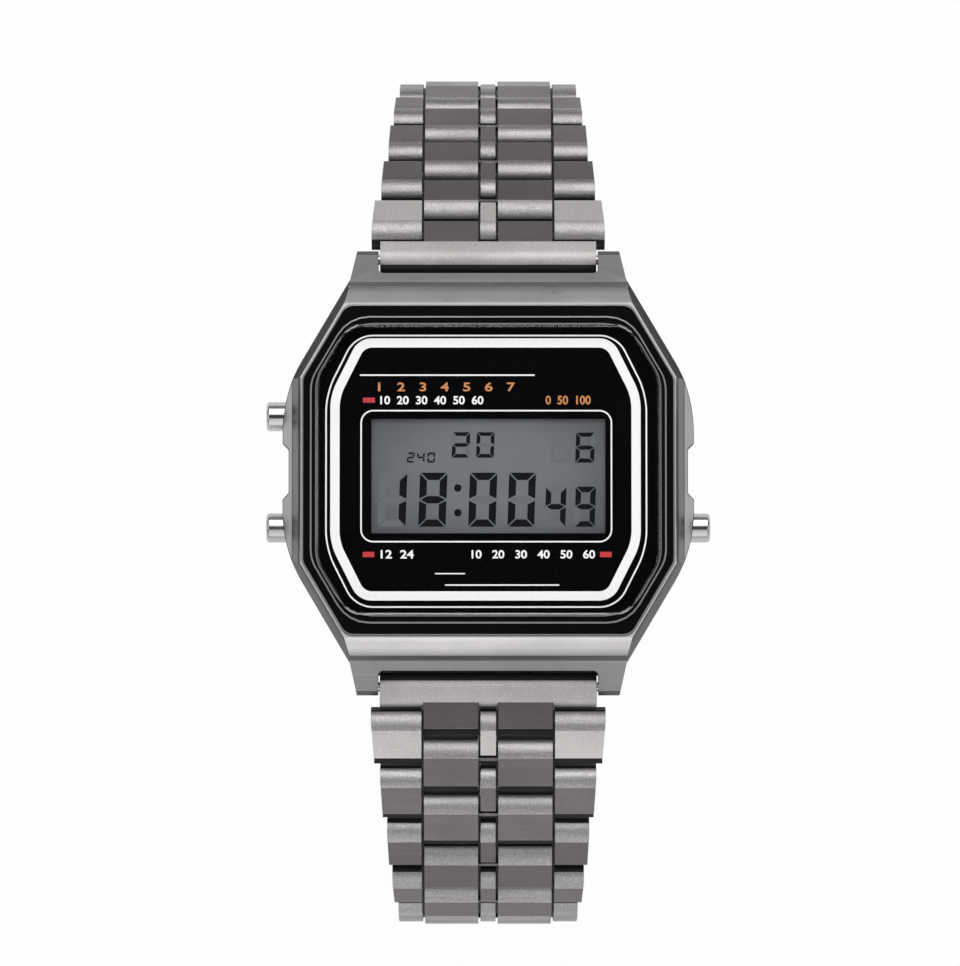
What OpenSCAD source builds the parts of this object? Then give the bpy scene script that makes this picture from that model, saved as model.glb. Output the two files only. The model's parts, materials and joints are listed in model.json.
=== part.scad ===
// Digital watch with a steel link bracelet, closed into a loop on its folding clasp.
// Millimetres. +Z runs from the clasp up through the dial, +Y to twelve o'clock, +X to three o'clock.
// The origin lies on the outer face of the clasp cover, straight below the middle of the case.

/* [Case] */
// Height from the case back to the top of the glass
case_h = 8.2; // [8:0.1:9]
// Width across the flanks
case_w = 33.9; // [33.5:0.1:36]
// Length of the body between the two end walls that face the bracelet
case_l = 32.8; // [32.3:0.1:33.3]
// Length of each flank between the slanted corner walls
flank_l = 12.8; // [12.3:0.1:13.3]
// Angle of the slanted corner walls
corner_angle = 30.6; // [28:0.2:33]
// Depth of the waist cut in each flank
waist_depth = 0.52; // [0.3:0.02:0.8]
// Length of the waist cut
waist_l = 4.6; // [3:0.1:5.5]
// Height of the flat land round the bezel above the case back
land_z = 7.2; // [7:0.05:7.4]
// Height of the upper edge of the flanks above the case back
flank_z = 4.7; // [4.6:0.1:5]

/* [Lugs] */
// Clear width between the lugs
lug_gap = 18.2; // [17.9:0.1:18.4]
// Gap between the end of the case and the roll of an end piece
roll_room = 0.1; // [0.08:0.01:0.2]
// How far a lug reaches past its spring bar
lug_nose = 0.7; // [0.65:0.05:0.85]
// Height of the spring bars above the case back
bar_z = 2.2; // [2.1:0.05:2.4]
// Width of a lug at its root
lug_root_w = 2.4; // [2.2:0.1:2.6]
// Width of a lug at its tip
lug_tip_w = 1.75; // [1.5:0.05:2]

/* [Spring bars] */
// Radius of the spring bar tube
bar_r = 0.7; // [0.6:0.05:0.75]
// Radius of the spring bar tip
bar_tip_r = 0.4; // [0.35:0.01:0.42]
// Length of each spring bar tip
bar_tip_l = 1.1; // [0.9:0.05:1.2]

/* [Bezel and glass] */
// Width of the case beside the bezel, at the flanks
side_land = 1.7; // [1.65:0.05:1.85]
// Width of the case beside the bezel, at the two ends
end_land = 2.85; // [2.8:0.05:3]
// Width of the case beside the bezel, at the slanted corners
corner_land = 0.88; // [0.8:0.02:0.92]
// Width of the bezel's low step at the sides
step_side = 0.7; // [0.6:0.05:0.8]
// Width of the bezel's low step at the two ends
step_end = 1; // [0.8:0.05:1.15]
// Width of the bezel's raised ring at the sides
ring_side = 0.5; // [0.4:0.05:0.6]
// Width of the bezel's raised ring at the two ends
ring_end = 0.65; // [0.55:0.05:0.8]
// Width of the bezel's raised ring at the slanted corners
ring_corner = 0.37; // [0.3:0.01:0.45]
// Thickness of the glass
glass_t = 1.6; // [1.4:0.05:1.8]
// Width of the printed border left and right of the display window
border_side = 4.45; // [4.3:0.05:5]
// Width of the printed border above and below the display window
border_end = 7.2; // [7:0.05:7.6]
// How far the display lies towards six o'clock
window_shift = 0.5; // [0:0.05:0.6]

/* [Module] */
// Width of the case beside the cavity for the module, at the flanks
wall_side = 4.95; // [4.85:0.05:5.1]
// Width of the case beside the cavity, at the two ends
wall_end = 5.4; // [5.3:0.05:5.5]
// Width of the case beside the cavity, at the slanted corners
wall_corner = 4.05; // [4:0.01:4.1]
// Thickness of the case back
back_t = 1; // [0.9:0.05:1.1]
// Room between the battery and the end of the cavity
battery_room = 1; // [0.95:0.05:1.4]
// Thickness of the battery
battery_t = 1.6; // [1.4:0.05:1.6]
// Thickness of the circuit board
board_t = 0.6; // [0.5:0.05:0.7]
// Radius of the sounder disc
buzzer_r = 6; // [4:0.5:8]
// Radius of a case back screw shank
screw_r = 0.4; // [0.3:0.02:0.42]

/* [Buttons] */
// Radius of a button head
button_r = 1.21; // [1:0.01:1.25]
// How far the buttons stand from the middle line of the case
button_y = 4.6; // [4:0.1:5.2]
// Height of the button axis above the case back
button_z = 3.5; // [3.3:0.05:3.6]
// How far a button head stands out of the flank
button_proud = 1.35; // [1.2:0.05:1.6]
// How far a button travels
button_travel = 0.9; // [0.5:0.05:1]
// Radius of a button stem
stem_r = 0.5; // [0.4:0.02:0.52]
// Radius of the wire of a button spring
spring_wire_r = 0.11; // [0.08:0.01:0.13]
// Turns of a button spring
spring_turns = 2; // [1:1:2]

/* [Bracelet] */
// Distance from one hinge pin of the bracelet to the next row's hinge pin
link_pitch = 4.8; // [4.7:0.05:5]
// Thickness of the links
link_t = 2.1; // [2:0.02:2.14]
// Gap between neighbouring links
link_gap = 0.18; // [0.15:0.01:0.25]
// Width of the centre links
centre_w = 1.28; // [1:0.02:1.4]
// Width of each inner link
inner_w = 4.52; // [4.2:0.02:4.6]
// Width of the bracelet at the first row
strap_w_start = 19.4; // [18.6:0.1:19.8]
// Width of the bracelet at the second row
strap_w_second = 17.9; // [17.4:0.1:18.2]
// Width of the bracelet at the third row
strap_w_third = 16.8; // [16.4:0.1:17]
// Width of the bracelet at the fourth row
strap_w_fourth = 16; // [15.6:0.1:16.2]
// Width of the bracelet from the fifth row on
strap_w = 15.1; // [14.9:0.05:15.2]
// Radius of the hinge pins
pin_r = 0.4; // [0.35:0.01:0.45]
// Radial clearance of a hinge pin in its bore
pin_clear = 0.04; // [0.02:0.01:0.08]
// Distance from a spring bar to the first hinge pin
end_reach = 2.65; // [2.55:0.01:2.75]
// Radius of the roll of an end piece round its spring bar
roll_r = 1.2; // [1.1:0.02:1.24]
// Rows of the upper strap, on the side of twelve o'clock
upper_rows = 9; // [9:1:10]
// Rows of the lower strap, on the side of six o'clock
lower_rows = 10; // [10:1:11]

/* [Bend of the upper strap] */
// Tilt of the upper end piece below the dial plane, in degrees
upper_tilt_end = 35; // [30:1:37]
// Tilt of the first upper row
upper_tilt_1 = 39; // [37:1:41]
// Tilt of the second upper row
upper_tilt_2 = 43; // [41:1:45]
// Tilt of the third upper row
upper_tilt_3 = 47; // [45:1:50]
// Tilt of the fourth upper row
upper_tilt_4 = 60; // [56:1:62]
// Tilt of the fifth upper row
upper_tilt_5 = 77; // [75:1:80]

/* [Bend of the lower strap] */
// Tilt of the lower end piece below the dial plane, in degrees
lower_tilt_end = 8; // [6:1:11]
// Tilt of the first lower row
lower_tilt_1 = 16; // [14:1:18]
// Tilt of the second lower row
lower_tilt_2 = 24; // [22:1:27]
// Tilt of the third lower row
lower_tilt_3 = 37; // [34:1:40]
// Tilt of the fourth lower row
lower_tilt_4 = 60; // [56:1:62]
// Tilt of the fifth lower row
lower_tilt_5 = 80; // [77:1:82]
// Bend from row to row over the rest of the lower strap
lower_turn = 16; // [15.5:0.1:16.5]

/* [Clasp] */
// Thickness of the clasp cover and of its side walls
cover_t = 0.8; // [0.7:0.02:0.82]
// Thickness of the two folding blades
blade_t = 0.8; // [0.7:0.02:0.85]
// Gap between the layers of the closed clasp
layer_gap = 0.3; // [0.25:0.01:0.35]
// Height of the clasp's side walls above its outer face
wall_h = 3.7; // [3.5:0.05:3.9]
// Height of the clasp's strap pins above its outer face
strap_pin_z = 2.6; // [2.5:0.02:2.7]
// Distance from the lower strap's pin to the hinge of the cover
cover_hinge_reach = 3.45; // [3.4:0.05:3.7]
// Distance from the upper strap's pin to the hinge between the blades
fold_hinge_reach = 6.5; // [6.5:0.05:7]
// Number of size adjustment holes in each side wall
adjust_holes = 5; // [3:1:6]
// Distance between the size adjustment holes
adjust_pitch = 2.4; // [2:0.1:2.6]

/* [Hidden] */
BUTTON_NAMES = ["upper_left", "lower_left", "lower_right"];
$fn = 48;

// Colours
steel = [0.50, 0.48, 0.48];
bright_steel = [0.82, 0.82, 0.83];
gunmetal = [0.38, 0.36, 0.37];
gloss_black = [0.03, 0.03, 0.035];
display_green = [0.60, 0.64, 0.58];
board_green = [0.10, 0.32, 0.16];
plastic_black = [0.10, 0.10, 0.11];

// Small fits that no outside size depends on
fit = 0.05;
loose = 0.15;
eps = 0.01;

// Bend of the two straps: tilts in degrees below the dial plane, the end piece first
row_half = link_pitch / 2;
link_r = link_t / 2;
set_rows = 5;
upper_set_tilts = [upper_tilt_end, upper_tilt_1, upper_tilt_2, upper_tilt_3, upper_tilt_4, upper_tilt_5];
lower_set_tilts = [lower_tilt_end, lower_tilt_1, lower_tilt_2, lower_tilt_3, lower_tilt_4, lower_tilt_5];

function total(v, k = 0) = k >= len(v) ? 0 : v[k] + total(v, k + 1);
function reach(k) = k == 0 ? end_reach : link_pitch;
function bent(tilts, rows, turn) = concat(
    tilts,
    [for (k = [1 : rows - set_rows]) tilts[set_rows] + turn * k]
);
function drop(tilts) = total([for (k = [0 : len(tilts) - 1]) reach(k) * sin(tilts[k])]);
function advance(tilts) = total([for (k = [0 : len(tilts) - 1]) reach(k) * cos(tilts[k])]);
function first_of(v, n) = [for (k = [0 : 1 : n - 1]) v[k]];

// The upper strap bends from row to row so that it comes down to the level of the lower one
function level_turn(low, high, level, steps) =
    steps == 0 ? (low + high) / 2
    : drop(bent(upper_set_tilts, upper_rows, (low + high) / 2)) > level
        ? level_turn((low + high) / 2, high, level, steps - 1)
        : level_turn(low, (low + high) / 2, level, steps - 1);

lower_tilts = bent(lower_set_tilts, lower_rows, lower_turn);
strap_drop = drop(lower_tilts);
least_turn = 10;
most_turn = 32;
halvings = 40;
upper_turn = level_turn(least_turn, most_turn, strap_drop, halvings);
upper_tilts = bent(upper_set_tilts, upper_rows, upper_turn);

bar_y = case_l / 2 + roll_room + roll_r;
bar_height = strap_pin_z + strap_drop;
case_z = bar_height - bar_z;

// Start of the end piece (k = 0) or of row k, as [distance from the middle towards its side, height]
function start_y(tilts, k) = bar_y + advance(first_of(tilts, k));
function start_z(tilts, k) = bar_height - drop(first_of(tilts, k));

upper_pin_y = start_y(upper_tilts, upper_rows + 1);
lower_pin_y = -start_y(lower_tilts, lower_rows + 1);
cover_hinge_y = lower_pin_y + cover_hinge_reach;
fold_hinge_y = upper_pin_y - fold_hinge_reach;

// Half widths across the bracelet
centre_half = centre_w / 2;
inner_start = centre_half + link_gap;
inner_end = inner_start + inner_w;
outer_start = inner_end + link_gap;
strap_widths = [strap_w_start, strap_w_second, strap_w_third, strap_w_fourth, strap_w];
function row_half_w(k) = strap_widths[min(k, len(strap_widths)) - 1] / 2;
// Each row narrows by a third of the step to the next one
function row_far_half_w(k) = row_half_w(k) - (row_half_w(k) - row_half_w(k + 1)) / 3;
bore_r = pin_r + pin_clear;
pin_inset = 0.15;
bridge_t = 0.25;
near_reach = 0.825;
far_reach = 0.7;

// Outlines, each one worked out from the case
case_corner_w = case_w * cos(corner_angle) + flank_l * sin(corner_angle);
bezel_w = case_w - 2 * side_land;
bezel_l = case_l - 2 * end_land;
bezel_corner_w = case_corner_w - 2 * corner_land;
ring_w = bezel_w - 2 * step_side;
ring_l = bezel_l - 2 * step_end;
ring_corner_w = bezel_corner_w - 2 * step_side;
glass_w = ring_w - 2 * ring_side;
glass_l = ring_l - 2 * ring_end;
glass_corner_w = ring_corner_w - 2 * ring_corner;
window_w = glass_w - 2 * border_side;
window_l = glass_l - 2 * border_end;
cavity_w = case_w - 2 * wall_side;
cavity_l = case_l - 2 * wall_end;
cavity_corner_w = case_corner_w - 2 * wall_corner;
battery_r = min(cavity_w, cavity_l) / 2 - battery_room;
crease_y = bezel_l / 2 + 1.65;

// Case heights, all above the case back
bezel_t = 2.3;
bezel_z = case_h - bezel_t;
crease = [[crease_y + 0.4, bezel_z - 0.35], [crease_y, bezel_z + 0.3]];
panel_z = bezel_z + 0.4;
glass_z = case_h - glass_t;
ring_z = case_h - 0.35;
bezel_edge_z = case_h - 0.7;
display_top = panel_z - 0.1;
display_t = 1.3;
display_z = display_top - display_t;
battery_z = back_t + 0.55;
board_z = battery_z + battery_t + 0.1;
board_top = board_z + board_t;
frame_z = battery_z - fit;
clamp_t = 0.18;
reflector_t = 0.12;
display_w = window_w + 1.8;
display_l = window_l + 2.2;
strip_w = 1;
strip_inset = 0.1;
board_w = 2 * battery_r - 0.4;
board_l = 2 * battery_r - 1.2;
strip_l = min(window_w, board_w - 0.4);
strip_y = display_l / 2 - strip_inset - strip_w / 2;
gasket_w = 0.5;
gasket_t = 0.6;
gasket_inset = 0.3;
back_flange = 1.6;
back_corner_flange = 2.7;
back_w = cavity_w + 2 * back_flange;
back_l = cavity_l + 2 * back_flange;
back_corner_w = cavity_corner_w + 2 * back_corner_flange;
screw_in = cavity_corner_w / 2 + 1.66;
screw_along = slant_middle(back_w, back_l, back_corner_w);
screw_x = screw_in * cos(corner_angle) - screw_along * sin(corner_angle);
screw_y = screw_in * sin(corner_angle) + screw_along * cos(corner_angle);
screw_head_r = 0.85;
screw_l = 2.4;

// Button seat along its own axis, measured from the middle of the case
flank_x = case_w / 2;
seat_x = flank_x - 2.85;
head_back_x = flank_x - 1.2;
head_front_x = flank_x + button_proud;
cavity_x = cavity_w / 2;
stem_end_x = cavity_x - 0.9;
clip_t = 0.3;
clip_r = 1;
head_clear = 0.09;
stem_clear = 0.06;
seal_r = 0.95;
seal_w = 0.5;
seal_x = cavity_x + 0.6;

// Clasp
cover_half = strap_w / 2 + link_gap + cover_t * 0.75;
wall_t = cover_t * 0.75;
wall_inner = cover_half - wall_t;
middle_blade_z = cover_t + layer_gap;
lower_blade_z = middle_blade_z + blade_t + layer_gap;
fold_axis_z = (middle_blade_z + lower_blade_z + blade_t) / 2;
knuckle_r = (lower_blade_z + blade_t - middle_blade_z) / 2;
blade_half = wall_inner - 0.4;
knuckle_split = blade_half * 0.45;
plate_back = 1.8;
plate_front = 1.6;
ear_r = 1.1;
wall_start = 1.1;
blade_window_w = 5;
blade_window_inset = 6;
notch_half = outer_start - 0.45;
notch_clear = 0.3;

function unit(v) = v / norm(v);

// Eight-sided outline: half width, half length and half distance across the slanted sides
function corners(hw, hl, hd) = let (
    side_y = (hd - hw * cos(corner_angle)) / sin(corner_angle),
    end_x = (hd - hl * sin(corner_angle)) / cos(corner_angle)
) [
    [hw, side_y], [end_x, hl], [-end_x, hl], [-hw, side_y],
    [-hw, -side_y], [-end_x, -hl], [end_x, -hl], [hw, -side_y]
];

// Length of a slanted side of the outline, and how far its middle lies from the foot of the line square to it
function slant_l(w, l, corner_w) = (l / 2 - corners(w / 2, l / 2, corner_w / 2)[0].y) / cos(corner_angle);
function slant_middle(w, l, corner_w) = let (
    ends = corners(w / 2, l / 2, corner_w / 2),
    middle = (ends[0] + ends[1]) / 2
) middle * [-sin(corner_angle), cos(corner_angle)];

// The same outline with each corner rounded by an arc of radius r
arc_steps = 4;
function arc_points(before, point, after, r) = let (
    back = unit(before - point),
    ahead = unit(after - point),
    half = acos(back * ahead) / 2,
    middle = point + unit(back + ahead) * r / sin(half),
    first = point + back * r / tan(half) - middle,
    turn = 180 - 2 * half
) [for (k = [0 : arc_steps]) let (a = turn * k / arc_steps)
    middle + [first.x * cos(a) - first.y * sin(a), first.x * sin(a) + first.y * cos(a)]];
function rounded(points, r) = [
    for (k = [0 : len(points) - 1])
        each arc_points(points[(k + len(points) - 1) % len(points)], points[k], points[(k + 1) % len(points)], r)
];

module plate(w, l, corner_w, z0, z1, r = 1) {
    translate([0, 0, z0])
        linear_extrude(z1 - z0)
            polygon(rounded(corners(w / 2, l / 2, corner_w / 2), r));
}

// Round bar along X from x0 to x1, at height z and distance y
module bar_x(r, x0, x1, y = 0, z = 0) {
    translate([x0, y, z])
        rotate([0, 90, 0])
            cylinder(r = r, h = x1 - x0);
}

// Section in the Y Z plane, drawn along X over the given width
module along_x(half, points) {
    translate([-half, 0, 0])
        rotate([90, 0, 90])
            linear_extrude(2 * half)
                polygon(points);
}

// Section of a half outline, closed by its mirror image
function both_sides(points) = concat(
    points,
    [for (k = [len(points) - 1 : -1 : 0]) [-points[k].x, points[k].y]]
);

// Section in the X Z plane, turned to stand square to one pair of corner walls
module across(points, angle, half = case_w) {
    rotate([0, 0, angle])
        translate([0, half, 0])
            rotate([90, 0, 0])
                linear_extrude(2 * half)
                    polygon(both_sides(points));
}

module in_case() {
    translate([0, 0, case_z])
        children();
}

land = 0.15;
foot = 1.05;
flank_slope = 0.85;
module case_body() {
    side = case_w / 2;
    end = case_l / 2;
    corner = case_corner_w / 2;
    intersection() {
        linear_extrude(land_z)
            polygon(corners(side, end, corner));
        across([
            [side - foot, 0], [side, foot], [side, flank_z],
            [side - flank_slope, flank_z + 1.1], [bezel_w / 2 + fit + land, land_z]
        ], 0);
        across(concat(
            [[end - foot, 0], [end, foot], [end, flank_z + 0.08]],
            crease,
            [[bezel_l / 2 + fit + land, land_z]]
        ), 90);
        for_corners(corner);
    }
}

module for_corners(corner) {
    points = [
        [corner - foot, 0], [corner, foot], [corner, flank_z + 0.7],
        [bezel_corner_w / 2 + fit + land, land_z]
    ];
    intersection() {
        across(points, corner_angle);
        across(points, -corner_angle);
    }
}

// Cuts the four corners between the flanks and the slanted walls round
flank_round = 12;
module flank_rounding() {
    half_turn = corner_angle / 2;
    start = corners(case_w / 2, case_l / 2, case_corner_w / 2)[0];
    for (mx = [0, 1], my = [0, 1])
        mirror([mx, 0, 0])
            mirror([0, my, 0])
                translate([start.x - flank_round, start.y - flank_round * tan(half_turn), -eps])
                    difference() {
                        linear_extrude(case_h)
                            polygon([
                                [0, 0], [flank_round + 1, 0],
                                (flank_round + 2) * [cos(half_turn), sin(half_turn)],
                                (flank_round + 1) * [cos(corner_angle), sin(corner_angle)]
                            ]);
                        translate([0, 0, -1])
                            cylinder(r = flank_round, h = case_h + 2);
                    }
}

module waist_cut() {
    slant = 0.5;
    half = waist_l / 2;
    side = case_w / 2;
    for (s = [-1, 1])
        translate([0, 0, -eps])
            linear_extrude(case_h)
                polygon([
                    [s * (side - waist_depth), half - slant], [s * (side + 1), half + 1],
                    [s * (side + 1), -half - 1], [s * (side - waist_depth), -half + slant]
                ]);
}

// Shelf under the roll of an end piece, which closes the foot of the recess between two lugs
shelf_reach = 0.35;
module roll_shelf() {
    end = case_l / 2;
    edge = end + shelf_reach;
    away = roll_room + roll_r - shelf_reach;
    top = bar_z - sqrt(pow(roll_r + loose, 2) - pow(away, 2));
    along_x(lug_gap / 2 + 0.1, [[end - 1, top - 0.9], [edge, top - 0.35], [edge, top], [end - 1, top]]);
}

// Lug in the quarter of positive X and Y
module lug() {
    tip = bar_y + lug_nose;
    root = case_l / 2 - 1.5;
    inner = lug_gap / 2;
    intersection() {
        union() {
            linear_extrude(case_h)
                polygon([
                    [inner, root], [inner + lug_root_w, root], [inner + lug_root_w, crease_y],
                    [inner + lug_tip_w, tip], [inner, tip]
                ]);
            lug_fillet(inner, case_l / 2);
        }
        along_x(case_w, concat(
            [
                [root, 0.5], [tip - 1.4, 0.8], [tip - 0.6, 1], [tip, bar_z - 0.6],
                [tip, bar_z + 0.4], [tip - 0.35, bar_z + 1]
            ],
            crease,
            [[root, crease[1].y]]
        ));
    }
}

// Round inner corner between a lug and the end of the case, above the roll of the end piece
module lug_fillet(x, y) {
    r = 0.5;
    z0 = bar_z + roll_r + loose;
    difference() {
        translate([x - r, y - r, z0])
            cube([r + eps, 2 * r, case_h - z0]);
        translate([x - r, y + r, z0 - 1])
            cylinder(r = r, h = case_h);
    }
}

module button_places() {
    for (k = [0 : 2])
        at_button(k)
            children();
}

// Puts a button, drawn along +X from the middle of the case, on its own place
module at_button(k) {
    left = k < 2;
    up = k == 0;
    in_case()
        translate([0, up ? button_y : -button_y, button_z])
            mirror([left ? 1 : 0, 0, 0])
                children();
}

module case_bores() {
    bar_x(button_r + head_clear, seat_x, flank_x + 1);
    bar_x(stem_r + stem_clear, cavity_x - 1, flank_x);
    bar_x(seal_r, seal_x, seal_x + seal_w);
}

module case() {
    color(steel)
        difference() {
            in_case()
                difference() {
                    union() {
                        case_body();
                        for (mx = [0, 1], my = [0, 1])
                            mirror([mx, 0, 0])
                                mirror([0, my, 0])
                                    lug();
                        for (my = [0, 1])
                            mirror([0, my, 0])
                                roll_shelf();
                    }
                    waist_cut();
                    flank_rounding();
                    plate(cavity_w, cavity_l, cavity_corner_w, -1, case_h);
                    plate(bezel_w + 2 * fit, bezel_l + 2 * fit, bezel_corner_w + 2 * fit, bezel_z, case_h);
                    plate(back_w + 2 * fit, back_l + 2 * fit, back_corner_w + 2 * fit, -1, back_t);
                    gasket_ring(0, back_t - eps, back_t + gasket_t);
                    at_screws()
                        cylinder(r = screw_r + fit, h = screw_l + 1);
                    for (s = [-1, 1])
                        bar_x(bar_tip_r + fit, -lug_gap / 2 - bar_tip_l - loose, lug_gap / 2 + bar_tip_l + loose,
                              s * bar_y, bar_z);
                }
            button_places()
                case_bores();
        }
}

// Ring round the cavity in which the case gasket lies, made smaller all round by the given amount
module gasket_ring(inset, z0, z1) {
    in = 2 * (gasket_inset + inset);
    out = 2 * (gasket_inset + gasket_w - inset);
    difference() {
        plate(cavity_w + out, cavity_l + out, cavity_corner_w + out, z0, z1);
        plate(cavity_w + in, cavity_l + in, cavity_corner_w + in, z0 - 1, z1 + 1);
    }
}

module at_screws() {
    for (sx = [-1, 1], sy = [-1, 1])
        translate([sx * screw_x, sy * screw_y, 0])
            children();
}

module case_gasket() {
    color(plastic_black)
        in_case()
            gasket_ring(0.05, back_t, back_t + gasket_t - fit);
}

module case_back() {
    color(bright_steel)
        in_case()
            difference() {
                plate(back_w, back_l, back_corner_w, 0, back_t);
                at_screws() {
                    translate([0, 0, -1])
                        cylinder(r = screw_r + loose, h = back_t + 2);
                    translate([0, 0, -1])
                        cylinder(r = screw_head_r + loose, h = 1.6);
                }
            }
}

module case_screws() {
    slot_w = 0.25;
    slot_depth = 0.25;
    color(bright_steel)
        in_case()
            at_screws()
                difference() {
                    union() {
                        translate([0, 0, 0.05])
                            cylinder(r = screw_head_r, h = 0.55);
                        cylinder(r = screw_r, h = screw_l);
                    }
                    for (a = [0, 90])
                        rotate([0, 0, a])
                            translate([-screw_head_r * 0.7, -slot_w / 2, -1])
                                cube([screw_head_r * 1.4, slot_w, 1.05 + slot_depth]);
                }
}

ring_round = 0.5 * slant_l(ring_w, ring_l, ring_corner_w);
glass_round = 0.66 * slant_l(glass_w, glass_l, glass_corner_w);
module bezel() {
    pocket_w = glass_w + 2 * fit;
    pocket_l = glass_l + 2 * fit;
    pocket_corner = glass_corner_w + 2 * fit;
    color(gloss_black)
        in_case()
            difference() {
                union() {
                    plate(bezel_w, bezel_l, bezel_corner_w, bezel_z, bezel_edge_z, 1.2);
                    plate(ring_w, ring_l, ring_corner_w, bezel_z, ring_z, ring_round);
                }
                plate(pocket_w, pocket_l, pocket_corner, panel_z, case_h, glass_round);
                plate(cavity_w + 0.4, cavity_l + 0.4, cavity_corner_w + 0.4, bezel_z - 1, case_h);
            }
}

module face_panel() {
    color(gloss_black)
        in_case()
            difference() {
                plate(glass_w, glass_l, glass_corner_w, panel_z, glass_z, glass_round);
                translate([-window_w / 2, -window_shift - window_l / 2, panel_z - 1])
                    cube([window_w, window_l, 3]);
            }
}

module glass() {
    step = 0.2;
    inset = 0.6;
    color([0.75, 0.80, 0.82, 0.35])
        in_case() {
            plate(glass_w, glass_l, glass_corner_w, glass_z, case_h - step, glass_round);
            plate(glass_w - inset, glass_l - inset, glass_corner_w - inset, case_h - step - eps, case_h,
                  glass_round);
        }
}

// Box about the middle of the display
module display_box(w, l, z0, z1) {
    translate([-w / 2, -window_shift - l / 2, z0])
        cube([w, l, z1 - z0]);
}

module display_cell() {
    glass_plate = display_t * 0.46;
    color(display_green)
        in_case() {
            display_box(display_w, display_l, display_z, display_z + glass_plate);
            display_box(display_w - 0.4, display_l - 0.4, display_z + glass_plate - eps,
                        display_top - glass_plate + eps);
            display_box(display_w, display_l - 0.8, display_top - glass_plate, display_top);
        }
}

module reflector() {
    gap = 0.3;
    color(bright_steel)
        in_case()
            display_box(strip_l - 0.4, display_l - 2 * (strip_w + strip_inset + gap),
                        display_z - reflector_t, display_z);
}

module contact_strips() {
    color([0.75, 0.75, 0.72])
        in_case()
            for (s = [-1, 1])
                translate([-strip_l / 2, -window_shift + s * strip_y - strip_w / 2, board_top])
                    cube([strip_l, strip_w, display_z - board_top]);
}

side_pocket_y = display_l / 2 - window_shift + 0.9;
side_pocket_l = 2.3;
side_pocket_w = board_w - 4.6;
module module_frame() {
    clear = 0.15;
    color([0.86, 0.86, 0.84])
        difference() {
            in_case()
                difference() {
                    plate(cavity_w - 0.2, cavity_l - 0.2, cavity_corner_w - 0.2, frame_z, display_top);
                    translate([0, 0, frame_z - 1])
                        cylinder(r = battery_r + clear, h = battery_t + fit + 1 + 0.1);
                    translate([-board_w / 2 - clear, -board_l / 2 - clear, board_z - fit])
                        cube([board_w + 2 * clear, board_l + 2 * clear, board_t + fit + 0.1]);
                    display_box(window_w + 0.2, display_l - 2 * strip_inset + 0.2, board_top, display_top + 1);
                    display_box(display_w + 2 * clear, display_l + 2 * clear, display_z, display_top + 1);
                    translate([-side_pocket_w / 2, side_pocket_y, board_top])
                        cube([side_pocket_w, side_pocket_l, 1.7]);
                }
            button_places()
                translate([stem_end_x - button_travel - 0.4, -clip_r - 0.3, -clip_r - 0.3])
                    cube([cavity_x, 2 * clip_r + 0.6, 2 * clip_r + 0.6]);
        }
}

module circuit_board() {
    color(board_green)
        in_case()
            translate([-board_w / 2, -board_l / 2, board_z])
                cube([board_w, board_l, board_t]);
}

module processor_chip() {
    chip = 5;
    chip_t = 0.75 * (display_z - reflector_t - board_top);
    color(plastic_black)
        in_case()
            translate([-chip / 2, -window_shift - chip / 2, board_top])
                cube([chip, chip, chip_t]);
}

can_r = 0.75;
module quartz_crystal() {
    can_l = 5;
    can_x = 0.5 - side_pocket_w / 2;
    color(bright_steel)
        in_case()
            bar_x(can_r, can_x, can_x + can_l, side_pocket_y + side_pocket_l / 2, board_top + can_r);
}

module lamp() {
    lamp_l = 0.9;
    color([0.95, 0.93, 0.80])
        in_case()
            translate([side_pocket_w / 2 - 4.5, side_pocket_y + (side_pocket_l - lamp_l) / 2, board_top])
                cube([1.6, lamp_l, 0.7]);
}

module battery() {
    rim = 0.35;
    color(bright_steel)
        in_case()
            translate([0, 0, battery_z]) {
                translate([0, 0, rim])
                    cylinder(r = battery_r, h = battery_t - rim);
                cylinder(r = battery_r - 0.9, h = battery_t - fit);
            }
}

module battery_clamp() {
    clamp_w = 5;
    clamp_l = cavity_l - 0.9;
    color(bright_steel)
        in_case()
            translate([-clamp_w / 2, -clamp_l / 2, frame_z - clamp_t])
                cube([clamp_w, clamp_l, clamp_t]);
}

module buzzer_disc() {
    brass_t = 0.12;
    color([0.80, 0.65, 0.30])
        in_case()
            translate([0, 0, back_t]) {
                cylinder(r = buzzer_r, h = brass_t);
                cylinder(r = buzzer_r * 0.7, h = 2 * brass_t);
            }
}

// Round bar with a thinner tip at each end, as half lengths of the tube and of the whole bar
module spring_bar(tube_r, tube_half, whole_half, y, z) {
    bar_x(tube_r, -tube_half, tube_half, y, z);
    bar_x(bar_tip_r, -whole_half, whole_half, y, z);
}

module spring_bars() {
    color(bright_steel)
        for (s = [-1, 1])
            spring_bar(bar_r, lug_gap / 2 - 0.2, lug_gap / 2 + bar_tip_l, s * bar_y, bar_height);
}

module button_seals() {
    color(plastic_black)
        button_places()
            difference() {
                bar_x(seal_r - fit, seal_x + fit, seal_x + seal_w - fit);
                bar_x(stem_r + eps, 0, flank_x);
            }
}

module button(k) {
    edge = 0.3;
    head_l = head_front_x - head_back_x;
    color(bright_steel)
        at_button(k) {
            translate([head_back_x, 0, 0])
                rotate([0, 90, 0])
                    rotate_extrude()
                        polygon(concat(
                            [[0, 0], [button_r, 0]],
                            [for (a = [0 : 15 : 90]) [button_r - edge + edge * cos(a), head_l - edge + edge * sin(a)]],
                            [[0, head_l]]
                        ));
            difference() {
                bar_x(stem_r, stem_end_x, head_back_x + eps);
                bar_x(stem_r + 1, cavity_x - fit - clip_t, cavity_x - fit);
            }
            bar_x(stem_r - 0.15, stem_end_x + eps, cavity_x);
        }
}

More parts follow.
